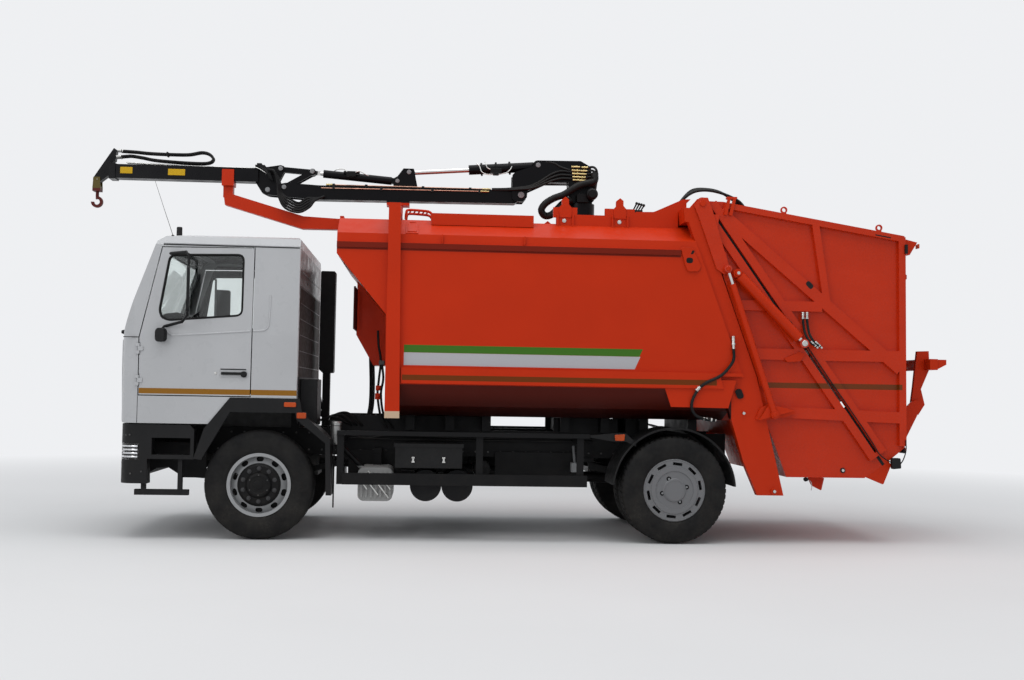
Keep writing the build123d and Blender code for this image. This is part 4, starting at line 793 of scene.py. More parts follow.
def cab_trim():
    """Screen gasket, seams, pressed beads, and the ribs, housing and a dull dark panel of painted shade on
    the cab's rear wall.
    """
    parts = []
    ring = round_corners(SCREEN, 105)
    gasket = hoop(np.column_stack([cab_front(ring[:, 1]) - 1, ring[:, 0], ring[:, 1]]), 15,
                  (1, 0, 0.3), 10, 0.55)
    parts.append(gasket)
    for side in (-1, 1):
        parts.append(tube(on_side([(-948, 2798), (300, 2794), (336, 2794)], side, -1), 5, 8))
        parts.append(tube(on_side([(-1143, 1350), (-1143, 1100)], side, -7), 4, 8))
        parts.append(tube(on_side([(-1290, 1908), (-1143, 1908)], side, -1), 4, 8))
    piece("cab_seals", parts, soft_black, "chassis")
    beads = both([tube(on_side(smooth_line(CREASE_REAR, 40), -1, -2), 10, 12),
                  tube(on_side([(-946, 2812), (0, 2808), (338, 2806)], -1, -1.5), 7, 10)])
    piece("cab_beads", beads, cab_paint, "chassis", crease=60)
    # The rear wall's ribs are painted maroon as shade
    ribs = [tube([(344, -1090, z), (344, 1090, z)], 4, 8) for z in range(1500, 2740, 155)]
    piece("cab_back_ribs", ribs, shade_maroon_paint, "chassis")
    # Dull dark sheet over the rear wall: painted shade, with little reflection
    piece("cab_back_shade_panel", [block(343.3, 346, -1132, 1132, 1560, 2440)], back_shade_panel, "chassis")
    lower = [block(343.3, 356, -1136, 1136, 1110, 1560), block(356, 520, -1000, -560, 1090, 1540)]
    piece("cab_back_housing", lower, black_plastic, "chassis", 6.0)


def wipers():
    """Two wipers that lie at the screen's foot: spindle, arm, blade holder and rubber."""
    parts = []
    for y0 in (-1010, -120):
        y1 = y0 + 560
        foot = np.array([cab_front(1950) - 22, y0, 1962])
        tip = np.array([cab_front(2120) - 30, y1, 2120])
        mid = (foot + tip) / 2 + (-8, 0, 6)
        parts.append(lathe([(a, r) for a, r in [(-36, 0), (-36, 15), (-14, 22), (8, 22), (8, 0)]],
                           foot + (14, 0, 0), 20, 0))
        parts.append(tube([foot, mid, tip], np.array([9, 7, 5]), 8))
        low = np.array([cab_front(2075) - 14, y1 - 330, 2072])
        high = np.array([cab_front(2205) - 14, y1 + 310, 2168])
        parts.append(tube(smooth_line([low, (low + tip) / 2 + (-6, 0, 2), tip, (tip + high) / 2 + (-6, 0, 2),
                                       high], 30), 5, 8))
        parts.append(tube([low + (6, 0, -3), high + (6, 0, -3)], 4, 6))
    piece("wipers", parts, black_plastic, "chassis")


def cab_outside():
    """Aerial, roof stub, amber side lamps on their bases, and the headlamps' reflectors."""
    whip = tube(smooth_line([(-888, -1080, 2868), (-892, -1080, 2910), (-980, -1080, 3160),
                             (-1072, -1080, 3425)], 30), np.linspace(3.2, 1.6, 30), 8)
    foot = lathe([(2846, 0), (2846, 26), (2880, 22), (2900, 12), (2908, 0)], (-888, -1080, 0), 24, 2)
    stub = lathe([(2870, 0), (2870, 30), (3048, 28), (3056, 24), (3056, 0)], (-945, -480, 0), 32, 2)
    piece("aerial_and_stub", [whip, foot, stub], black_plastic, "chassis")
    ambers = []
    for x0, x1, z0, z1 in ((230, 343, 1270, 1314), (352, 440, 1163, 1217)):
        ambers += both([prism(round_corners([(x0, z0), (x1, z0), (x1, z1), (x0, z1)], 10), -1260, -1243)])
    ambers += both([prism(round_corners([(3414, 994), (3502, 994), (3508, 1058), (3408, 1050)], 9),
                          -1222, -1204)])
    piece("side_ambers", ambers, amber_lens, "chassis", 3.0)
    bases = []
    for x0, x1, z0, z1 in ((222, 351, 1262, 1322), (344, 448, 1155, 1225)):
        bases += both([prism(round_corners([(x0, z0), (x1, z0), (x1, z1), (x0, z1)], 12), -1249, -1240)])
    bases += both([prism([(3170, 1020), (3400, 984), (3520, 984), (3620, 940), (3620, 980), (3520, 1064),
                          (3400, 1064), (3170, 1040)], -1205, -1192)])
    piece("amber_bases", bases, black_plastic, "chassis", 2.0)
    shelves = []
    outline = [(-1136, 1188), (-1136, 880), (-1318, 880), (-1290, 1065), (-1245, 1150), (-1190, 1186)]
    for z in (768, 801, 834, 867):
        flat = prism(outline, z, z + 17, 2)
        shelves += [flat, other_side(flat)]
    bowls = []
    for y in (-930, -1060, 930, 1060):
        bowls.append(lathe([(-1200, 0), (-1215, 38), (-1250, 56), (-1296, 60), (-1296, 56), (-1255, 50),
                            (-1225, 34), (-1212, 0)], (0, y, 828), 32, 0))
    piece("lamp_reflectors", shelves + bowls, reflector, "chassis", 1.0)


def dashboard():
    """Instrument hood and the dashboard's top, seen through the door's glass."""
    top = [(-1080, 1960), (-1100, 2060), (-1010, 2104), (-800, 2090), (-770, 1960)]
    hood = [(-1010, 2080), (-985, 2150), (-850, 2168), (-790, 2130), (-785, 2080)]
    piece("dash_top", [prism(top, -1120, 1120), prism(hood, -930, -330)], interior_cloth, "chassis",
          10.0)


def front_face():
    """Bars behind the grille, bare plate carrier, fog lamps and bolts on the bumper."""
    bars = [tube([(-1388, v, 1196), (-1388, v, 1730)], 3, 6) for v in range(-545, 556, 55)]
    piece("grille_bars", bars, black_plastic, "chassis")
    carrier = prism(round_corners([(-260, 690), (260, 690), (260, 802), (-260, 802)], 12), -1424, -1415, 0)
    piece("plate_carrier", [carrier], grey_fittings, "chassis", 1.5)
    fogs = [lathe([(-1416, 0), (-1416, 52), (-1424, 50), (-1428, 38), (-1424, 34), (-1424, 0)], (0, v, 700),
                  32, 0) for v in (-560, 560)]
    piece("fog_lamps", fogs, reflector, "chassis")
    bolts = hexes([(v, z) for v in (-430, 430) for z in (600, 860)], 24, -1422, -1414, 0)
    dots = both(hexes([(-1240, 980), (-1205, 985), (-1090, 640), (-1190, 620)], 18, -1236, -1229))
    piece("bumper_bolts", bolts + dots, casting, "chassis", 1.0)


for side_name, side in SIDES:
    door_trim(side, side_name)
cab_trim()
wipers()
cab_outside()
dashboard()
front_face()


# Body

def body_rails():
    """Hand rails, hatch, brackets with their holes as black sheets of painted shade, straps, bolts and weld
    seams on the body.
    """
    rails = []
    for y in (-700, -420):
        rails.append(tube(smooth_line([(1335, y, 3168), (1340, y, 3235), (1365, y, 3262), (1500, y, 3258),
                                       (1570, y, 3248), (1600, y, 3215), (1610, y, 3160)], 40), 13, 10))
    rails += [tube([(x, -700, 3258), (x - 22, -420, 3258)], 9, 8) for x in (1385, 1430, 1475, 1520, 1560)]
    piece("roof_rails", rails, trim_paint, "chassis", crease=60)
    facet = lambda t, out: (-1200 + 310 * t - 0.5 * out, 2957 + 179 * t + 0.866 * out)
    hatch = prism([facet(0.02, 0), facet(0.78, 0), facet(0.78, 9), facet(0.02, 9)], 1345, 1470, 0)
    lid = prism([facet(0.10, 8), facet(0.70, 8), facet(0.70, 15), facet(0.10, 15)], 1362, 1453, 0)
    knob = [tube([(1380, facet(0.72, 14)[0], facet(0.72, 14)[1]),
                  (1440, facet(0.72, 14)[0], facet(0.72, 14)[1])], 8, 10)]
    bracket = prism(round_corners([(4033, 2892), (4150, 2892), (4235, 2702), (4205, 2657), (4108, 2657),
                                   (4082, 2700)], 16), -1240, -1225.3)
    straps = [block(x - 6, x + 6, -1238, -1213, 2872, 2960) for x in (1700, 2500)]
    skirt = prism([(3861, 1600), (3954, 1331), (4520, 1326), (4600, 1600)], -1234, -1222)
    spike = prism([(4826, 1215), (5192, 1314), (4923, 1372)], -1242, -1230)
    piece("body_fittings", both([hatch, lid, bracket, skirt, spike] + knob + straps), trim_paint, "chassis",
          2.0)
    # Thin black sheets where the brackets and the post have holes: painted shade seen through them
    near, far = -1240.8, -1239.6
    holes = [prism(round_corners([(4086, 2738), (4152, 2738), (4152, 2792), (4086, 2792)], 25), near, far),
             prism(round_corners([(4128, 2826), (4152, 2826), (4170, 2860), (4146, 2866)], 10), near, far)]
    post_face = -1206.8
    notch = round_corners([(4586, 1506), (4652, 1524), (4686, 1432), (4620, 1414)], 30)
    holes += [prism(notch, post_face, post_face + 1.2)]
    piece("hole_shade_sheets", both(holes), soft_black, "chassis")
    plates = [block(x0, x1, -440, -424, 1030, 1190) for x0, x1 in ((620, 2200), (2890, 3560), (3640, 3800))]
    piece("subframe_plates", both(plates), frame_paint, "chassis", 2.0)
    bolts = both(hexes([(2915, 3165), (3470, 3165)], 26, -940, -920)
                 + hexes([(4680, 1280), (4992, 520)], 32, -1222, -1204))
    washers = both([lathe([(-929, 0), (-929, 20), (-926, 20), (-926, 0)], (x, 0, 3165), 32)
                    for x in (2915, 3470)])
    piece("base_bolts", bolts + washers, steel, "chassis", 2.0)
    wall = 1226
    seams = [tube([(700, -wall + 1, 2866), (4030, -wall + 1, 2866)], 4, 6),
             tube([(1200, -wall, 1516), (4390, -wall, 1516)], 4, 6)]
    chamfer = prism([(-1224, 1668), (-1249, 1600), (-1224, 1600)], 1340, 4395, 0)
    seams.append(chamfer)
    piece("body_seams", both(seams), trim_paint, "chassis")


def body_hoses():
    """Hose from the rear post down under the body, and ribs, hoses, pump and valves before the body."""
    drop = [(4560, -1225, 2020), (4562, -1246, 1912), (4560, -1262, 1800), (4500, -1262, 1705),
            (4424, -1258, 1635), (4300, -1256, 1575), (4215, -1256, 1505), (4160, -1256, 1400),
            (4155, -1250, 1320), (4200, -1244, 1250), (4300, -1236, 1216), (4390, -1226, 1208)]
    parts = [hose(drop, 15, 70)]
    for y, x in ((60, 977), (150, 990), (-120, 1010)):
        parts.append(hose([(x, y, 2010), (x + 6, y - 6, 1800), (x + 18, y, 1500), (x + 10, y - 20, 1250),
                           (x - 40, y - 60, 1090), (x - 160, y - 100, 1075)], 20 if y == 60 else 13, 50))
    for k in range(3):
        parts.append(hose([(470 + 60 * k, -470, 1052), (500 + 70 * k, -500, 1120 + 26 * k),
                           (640 + 70 * k, -520, 1170 + 20 * k), (780 + 60 * k, -480, 1110),
                           (860 + 50 * k, -380, 1056)], 12, 40))
    parts.append(hose([(1075, -520, 2050), (1085, -524, 1900), (1110, -520, 1745), (1096, -526, 1560),
                       (1085, -520, 1390), (1120, -500, 1180), (1180, -470, 1060)], 12, 50))
    parts.append(hose([(1125, -560, 1700), (1140, -560, 1560), (1120, -556, 1400), (1150, -520, 1200),
                       (1240, -460, 1058)], 12, 50))
    piece("body_hoses", parts, hose_rubber, "chassis", crease=80)
    ends = [coupling((4562, -1228, 2030), (4562, -1250, 1905), 19),
            coupling((4270, -1234, 1222), (4400, -1222, 1206), 19),
            coupling((4196, -1258, 1492), (4232, -1258, 1530), 20)]
    piece("hose_ends", ends, steel, "chassis")
    pump = lathe([(-60, 0), (-60, 46), (-30, 52), (40, 52), (52, 40), (86, 40), (92, 30), (92, 0)],
                 (979, 60, 2015), 32)
    brackets = [block(940, 1020, 20, 100, 1990, 2120), block(1090, 1150, -560, -490, 1700, 1745)]
    piece("pump", [pump] + brackets, casting, "chassis", 3.0)
    valves = [block(1060, 1122, -560, -500, 1350, 1412), block(1066, 1118, -556, -504, 1440, 1490)]
    valves += [tube([(1090, -530, z), (1090, -600, z)], 12, 12) for z in (1380, 1465)]
    piece("orange_valves", valves, trim_paint, "chassis", 3.0)
    # Rails on the housing painted maroon as its shade
    rails = [tube([(843, y, 2050), (843, y, 2480)], 11, 8) for y in range(-700, 701, 175)]
    piece("housing_ribs", rails, shade_maroon_paint, "chassis")


def roof_levers():
    """Valve bank with its levers on the roof behind the crane's base."""
    bank = [block(3590, 3740, -790, -560, 3150, 3250), block(3600, 3730, -780, -570, 3250, 3316)]
    bank += [block(3740, 3766, -770 + 50 * k, -738 + 50 * k, 3170, 3236) for k in range(4)]
    bars = [tube([(3620 + 26 * k, -760 + 40 * k, 3258), (3640 + 30 * k, -764 + 40 * k, 3322),
                  (3668 + 32 * k, -766 + 40 * k, 3378)], np.array([10, 8, 9]), 8) for k in range(4)]
    knobs = [lathe([(3370, 0), (3372, 12), (3384, 15), (3396, 10), (3400, 0)],
                   (3669 + 32 * k, -766 + 40 * k, 0), 16, 2) for k in range(4)]
    piece("valve_levers", bank + bars + knobs, black_plastic, "chassis", 3.0)
    lines = [hose([(3600, -600 - 40 * k, 3200), (3520, -580 - 40 * k, 3222 + 6 * k),
                   (3430, -480 - 50 * k, 3212), (3330, -300 - 30 * k, 3230)], 10, 30) for k in range(4)]
    piece("lever_hoses", lines, hose_rubber, "chassis", crease=80)


body_rails()
body_hoses()
roof_levers()


# Tailgate

def on_track(distance, aside=0.0):
    """Point (x, z) on the carriage's line from the trunnion at rest, aside towards the rear and up."""
    return (TRUNNION[0] + distance * math.cos(SLOPE) + aside * math.sin(SLOPE),
            TRUNNION[1] - distance * math.sin(SLOPE) + aside * math.cos(SLOPE))


def gate_details():
    """Straps, bolts, lamps, cables, plates, weld seams and short hoses on the tailgate."""
    strap = prism([(4561, 3402), (4588, 3392), (4552, 3222), (4519, 3231)], -1188, -1160)
    lugs = [strap, moved(strap, (-52, 0, 4)), block(4500, 4600, -1186, -1120, 3392, 3412)]
    lug = prism(round_corners([(5415, 655), (5590, 640), (5560, 512), (5462, 560), (5440, 600)], 12),
                -905, -885)
    clevis = prism(round_corners([(5925, 672), (6160, 832), (6205, 790), (6187, 765), (6118, 594)], 14),
                   -1119, -1093)
    plates = [prism(round_corners([(5086, 1822), (5244, 1896), (5300, 1870), (5250, 1800), (5120, 1790)], 10),
                    -1180, -1165)]
    piece("gate_lugs", both(lugs + [lug, clevis] + plates), trim_paint, "tailgate", 2.5)
    near, far = -1166.2, -1165
    dark = [prism(round_corners([(5296, 2572), (5330, 2606), (5388, 2548), (5352, 2510)], 24), near, far),
            prism([(6006, 3082), (6164, 3056), (6164, 3044), (6006, 3070)], near, far)]
    dark += [lathe([(-1121, 0), (-1121, 26), (-1126, 26), (-1126, 0)], (5704, 0, 730), 32)]
    dark += [prism(round_corners([(6173, 862), (6262, 862), (6270, 760), (6180, 752)], 14), -1196, -1150),
             prism(round_corners([(6303, 2985), (6330, 2985), (6330, 2892), (6303, 2892)], 8), -1190, -1165)]
    knob = lathe([(-930, 0), (-930, 18), (-905, 22), (-880, 18), (-880, 0)], (5399, 0, 622), 24)
    piece("gate_dark_bits", both(dark + [knob]), black_plastic, "tailgate", 1.0)
    bolts = hexes([(5704, 730)], 30, -1136, -1124) + hexes([(4668, 2644)], 34, -1180, -1164)
    bolts += hexes([(4600, 2650)], 34, -1276, -1264) + hexes([(4250, 3335)], 46, -1224, -1211)
    wire = tube(smooth_line([(5420, -900, 620), (5450, -906, 600), (5462, -906, 560), (5456, -906, 512)],
                            24), 4, 8)
    piece("gate_bolts", both(bolts + [wire]), steel, "tailgate", 1.5)
    loop = lathe([(-1226, 0), (-1226, 30), (-1212, 30), (-1212, 0)], (4250, 0, 3335), 32)
    piece("hinge_discs", both([loop]), trim_paint, "tailgate", 1.5)
    cable = [on_track(-250, 26), on_track(100, 24), on_track(500, 22), on_track(900, 24), on_track(1180, 22)]
    line = [(x, -1172, z) for x, z in cable] + [(6050, -1178, 905), (6110, -1184, 852), (6180, -1176, 815)]
    lead = [(6268, -1170, 800), (6300, -1172, 850), (6326, -1172, 940), (6322, -1176, 1040)]
    piece("gate_cable", both([hose(line, 5.5, 80, sides=8), hose(lead, 6, 24, sides=8)]), hose_rubber,
          "tailgate", crease=80)
    pair_paths = [[(5272 + dx, -1172, 2253), (5276 + dx, -1190, 2150), (5290 + dx, -1216, 2060),
                   (5330 + dx, -1236, 1990), (5392 + dx, -1240, 1945)] for dx in (0, 42)]
    piece("gate_hoses", both([hose(p, 12, 40) for p in pair_paths]), hose_rubber, "tailgate",
          crease=80)
    ends = []
    for p in pair_paths:
        ends.append(coupling(np.add(p[0], (0, -4, 34)), np.add(p[0], (0, -4, -62)), 16))
        ends.append(coupling(np.add(p[-1], (-56, 4, 50)), np.add(p[-1], (14, 0, -14)), 15))
    piece("gate_hose_ends", both(ends), steel, "tailgate")
    boxes = [block(6336, 6352, -1090, -960, z, z + 60) for z in (2640, 905)]
    piece("rear_lamp_boxes", both(boxes), black_plastic, "tailgate", 3.0)
    reds = [block(6350, 6364, -1082, -1028, z, z + 44) for z in (2648, 913)]
    piece("rear_red_lenses", both(reds), red_lens, "tailgate", 4.0)
    ambers = [block(6350, 6364, -1024, -968, z, z + 44) for z in (2648, 913)]
    ambers += [block(6474, 6486, -1100, -1020, 2960, 3005)]
    piece("rear_ambers", both(ambers), amber_lens, "tailgate", 4.0)
    welds = [tube([(4480, -1122, 3300), (6296, -1122, 3014)], 5, 6),
             tube([(5135, -1121, 662), (5925, -1121, 662)], 5, 6)]
    piece("gate_seams", both(welds), gate_paint, "tailgate")


def crossing_hoses():
    """Hoses over the hinge from the body's roof to the tailgate's, riding on no body."""
    arcs = []
    for k, y in enumerate(HINGE_HOSE_ROWS):
        rise = 3540 + 16 * k
        arcs.append(hose([(4090, y, 3335), (4150, y, 3440), (4260, y + 6, rise - 20), (4400, y + 8, rise),
                          (4560, y + 4, rise - 30), (4720, y, 3440), (4800, y, 3352)], 14, 50))
    made = piece("hinge_hoses", arcs, hose_rubber, None, crease=80)
    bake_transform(made)
    ends = [tube([(4800, y, 3368), (4804, y, 3320)], 17, 12) for y in HINGE_HOSE_ROWS]
    piece("hinge_hose_feet", ends, steel, "tailgate")


def pin_heads():
    """Pin discs with a keeper bolt, each on the body that carries the pin."""
    def head(x, z, y, radius):
        """Disc on the driver's side at y, with a small bolt beside its middle."""
        thick = 10
        y0, y1 = -y, -y - thick
        disc = lathe([(y0, 0), (y0, radius), (y1 + 3, radius), (y1, radius - 4), (y1, 0)], (x, 0, z), 32)
        bolt = hexes([(x + radius * 0.45, z)], radius * 0.42, y1 - 5, y1 + 1)
        return [disc] + bolt
    # Name, body, pins as (x, z, y, radius of the disc), material, slot
    table = [
        ("pins_packer", "packer_rods", [(*TRUNNION, 1246, 30)], steel, "chrome"),
        ("pins_lift_foot", "chassis", [(4977, 1272, 1272, 26)], trim_paint, "body_paint"),
        ("pins_lift_eye", "tailgate", [(*LIFT_EYE, 1273, 24)], trim_paint, "body_paint"),
        ("pins_boom", "boom",
         [(-127, 3526, 76, 26), (42, 3559, 76, 24), (1228, 3663, 48, 22), (*MAIN_EYE, 48, 24)],
         grey_fittings, "grey_paint"),
        ("pins_column", "column", [(2542, 3543, 102, 34), (2719, 3868, 102, 26)],
         grey_fittings, "grey_paint"),
        ("pins_jib", "jib", [(3, 3754, 84, 24)], grey_fittings, "grey_paint"),
        ("pins_link", "boom_link", [(*JIB_EYE, 84, 24)], grey_fittings, "grey_paint"),
        ("pins_hook", "extension", [(-1895, 3590, 40, 16)], steel, "chrome"),
        ("pins_lifter", "tailgate", [(6555, 1392, 846, 26)], grey_fittings, "grey_paint"),
    ]
    for name, body, rows, material, slot in table:
        shapes = []
        for x, z, y, radius in rows:
            shapes += both(head(x, z, y, radius))
        piece(name, shapes, material, body, 1.0)


gate_details()
crossing_hoses()
pin_heads()


# Crane

def crane_details():
    """Fittings, hoses and sleeved bundle at the head, slewing drive, pipes and clips on the boom."""
    rows = []
    for k, z in enumerate((3858, 3820, 3785, 3750, 3716)):
        x0, x1 = 3074 + 4 * k, 3268 - 8 * k
        rows.append(coupling((x0, -112, z), (x0 + 92, -112, z), 13))
        rows.append(coupling((x1, -112, z - 2), (x1 - 86, -112, z - 2), 13))
    piece("head_fittings", rows, brass, "column")
    loops = []
    for k, z in enumerate((3856, 3818, 3783, 3748)):
        loops.append(hose([(3250 - 8 * k, -112, z), (3310 - 6 * k, -118, z + 4), (3346 - 6 * k, -112, z - 34),
                           (3350 - 8 * k, -90, z - 120), (3336, -66 + 8 * k, 3600)], 13, 40))
    loops.append(hose([(2660, -60, 3882), (2700, -80, 3898), (2800, -90, 3904), (2890, -96, 3892),
                       (2960, -106, 3852), (3060, -112, 3822)], 12, 50))
    loops.append(hose([(3300, -30, 3700), (3345, 20, 3640), (3340, 30, 3560), (3290, 40, 3500),
                       (3230, 100, 3470)], 16, 40))
    piece("head_hoses", loops, hose_rubber, "column", crease=80)
    sleeve = [(3322, -150, 3786), (3310, -180, 3700), (3200, -200, 3664), (3110, -204, 3626),
              (2990, -206, 3545), (2880, -206, 3500), (2790, -204, 3440), (2752, -196, 3372),
              (2790, -180, 3318), (2860, -168, 3330), (2930, -160, 3400), (2990, -150, 3460),
              (3080, -140, 3500)]
    piece("sleeved_bundle", [hose(sleeve, 37, 170, 2.2, 16)], hose_rubber, "column",
          crease=80)
    motor = lathe([(-170, 0), (-170, 52), (-190, 60), (-250, 60), (-262, 44), (-270, 44), (-270, 0)],
                  (3286, 0, 3552), 32)
    swivel = lathe([(3440, 0), (3440, 110), (3462, 110), (3470, 96), (3500, 96), (3508, 80), (3508, 0)],
                   (3190, 0, 0), 48, 2)
    lumps = [block(3130, 3250, -190, -120, 3470, 3560), block(3240, 3330, 90, 180, 3466, 3540)]
    piece("slew_drive", [motor, swivel] + lumps, wheel_black, "column", 3.0)
    across = []
    for k in range(3):
        y = -112 - 6 * k
        across.append(hose([(3080, y, 3800 - 36 * k), (2960, y - 6, 3806 - 40 * k),
                            (2860, y - 8, 3770 - 36 * k), (2740, y - 8, 3690 - 22 * k),
                            (2640, y - 6, 3640 - 14 * k), (2520, y - 2, 3618 - 10 * k),
                            (2380, -88, 3606 - 6 * k), (2230, -72, 3602 - 4 * k)], 12, 70))
    made = piece("boom_hoses", across, hose_rubber, None, crease=80)
    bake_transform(made)
    pipes = [tube([(520, y, 3600), (2200, y, 3602)], 6, 10) for y in (-62, -44)]
    pipes.append(tube([(430, -84, 3560), (2190, -84, 3572)], 5, 8))
    piece("boom_pipes", pipes, copper, "boom")
    clips = [block(x - 14, x + 14, -74, -34, 3588, 3612) for x in (560, 900, 1500, 2000)]
    clips += [block(x - 14, x + 14, -90, -74, 3548, 3586) for x in (560, 1060, 1600, 2100)]
    piece("pipe_clips", clips, black_plastic, "boom", 2.0)
    unions = [coupling((x, y, 3600), (x + 90, y, 3602), 11) for x, y in ((2130, -62), (2130, -44),
                                                                         (480, -62))]
    unions += [coupling((2110, -84, 3571), (2200, -84, 3572), 10)]
    piece("pipe_unions", unions, brass, "boom")


def cylinder_valves():
    """Lock valves with their steel pipes on the boom's and the jib's cylinder."""
    body = [block(2210, 2330, -112, -66, 3770, 3822), block(2240, 2300, -120, -60, 3748, 3772)]
    ring = lathe([(-9, 64), (-9, 70), (9, 70), (9, 64)], (0, 0, 0), 40, 0)
    fall, length = 107, 1370
    ring = swung(ring, (0, 0, 0), -math.degrees(math.atan2(fall, length)))
    bands = [moved(ring, (x, 0, 3868 - (2719 - x) * fall / length)) for x in (2120, 2275, 2420)]
    piece("main_valve", body + bands, wheel_black, "main_tube", 3.0)
    routes = [[(2270, -96, 3760), (2180, -98, 3752), (2120, -92, 3780), (2096, -80, 3840), (2060, -70, 3872)],
              [(2300, -96, 3758), (2380, -98, 3776), (2420, -92, 3812), (2440, -84, 3850)],
              [(2240, -100, 3800), (2180, -104, 3820), (2160, -96, 3870), (2150, -70, 3890)]]
    piece("main_valve_pipes", [hose(r, 5, 30) for r in routes], steel, "main_tube")
    body = [block(690, 790, -96, -56, 3690, 3738), block(660, 830, -64, -40, 3724, 3752)]
    piece("jib_valve", body, wheel_black, "jib_tube", 3.0)
    routes = [[(700, -80, 3736), (660, -84, 3766), (600, -80, 3762), (560, -64, 3746)],
              [(780, -80, 3736), (830, -84, 3748), (880, -78, 3724), (920, -64, 3706)]]
    piece("jib_valve_pipes", [hose(r, 5, 30) for r in routes], steel, "jib_tube")


def jib_details():
    """Hose loop over the jib, hoses below the knuckle, couplings, valve block, pipes and bare plates."""
    loops = []
    for y, lift in JIB_HOSE_ROWS:
        loops.append(hose([(-1655, y, 3900 - lift), (-1500, y, 3894 - lift), (-1363, y, 3884 - lift),
                           (-1150, y, 3880 - lift), (-960, y, 3884 - lift), (-826, y, 3909 - lift),
                           (-745, y, 3892 - lift), (-706, y, 3840 - lift), (-770, y, 3798 - lift),
                           (-991, y, 3796 - lift), (-1288, y, 3812 - lift), (-1435, y, 3836 - lift),
                           (-1540, y, 3850 - lift), (-1600, y - 4, 3846 - lift),
                           (-1668, y - 4, 3838 - lift)], 12, 110))
    made = piece("jib_hose_loop", loops, hose_rubber, None, crease=80)
    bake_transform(made)
    made = piece("hose_ties", [block(-1188, -1172, -50, 36, 3854, 3900)], soft_black, None,
                 3.0)
    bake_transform(made)
    ends = [coupling((-1690, y, 3902), (-1610, y, 3897), 14) for y, _ in JIB_HOSE_ROWS]
    ends += [coupling((-1700, y - 4, 3836 - lift), (-1630, y - 4, 3842 - lift), 15)
             for y, lift in JIB_HOSE_ROWS]
    piece("head_couplings", ends, steel, "extension")
    bows = []
    for k in range(5):
        y, r = -114 + 11 * k, 26 * k
        bows.append(hose([(-120 + 8 * k, y + 16, 3735 - 6 * k), (-60 + 6 * k, y, 3716 - 8 * k),
                          (-24 + 6 * k, y, 3600), (-10 + 8 * k, y, 3470 + 6 * k), (60 + 8 * k, y, 3338 + r),
                          (200, y, 3292 + r), (310 - 6 * k, y, 3344 + r), (372, y, 3420 + 8 * k),
                          (470, y + 10, 3470)], 12.5, 80))
    made = piece("knuckle_hoses", bows, hose_rubber, None, crease=80)
    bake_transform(made)
    pipe = [tube([(-1600, -30, 3776), (-620, -30, 3757), (-300, -30, 3757)], 6, 10),
            tube([(-1600, 10, 3776), (-620, 10, 3757), (-300, 10, 3757)], 6, 10)]
    pipe += [hose([(-280, -84, 3764), (-230, -90, 3748), (-150, -92, 3700), (-108, -90, 3672)], 4, 30,
                  sides=10)]
    piece("jib_pipes", pipe, steel, "jib")
    manifold = [block(-262, -160, -84, 20, 3736, 3786), block(-246, -196, -70, 10, 3786, 3806),
                block(-170, -128, -80, -20, 3728, 3766)]
    manifold += [hose([(-230 + 34 * k, -60, 3770), (-180 + 30 * k, -84, 3742 - 8 * k),
                       (-128 + 16 * k, -94, 3690 - 10 * k), (-104 + 14 * k, -92, 3640 - 10 * k)], 10, 30,
                      sides=10) for k in range(3)]
    piece("jib_manifold", manifold, wheel_black, "jib", 2.0)
    plates = [block(x0, x1, -79.5, -75, z0, z1) for x0, x1, z0, z1 in ((-1650, -1525, 3655, 3722),
                                                                       (-1160, -985, 3650, 3716))]
    piece("yellow_plates", both(plates), yellow_plate, "jib", 1.5)
    tag = [block(-1745, -1700, -79.5, -75, 3650, 3735)]
    piece("steel_tags", both(tag), grey_fittings, "jib", 1.5)


crane_details()
cylinder_valves()
jib_details()


# Chassis

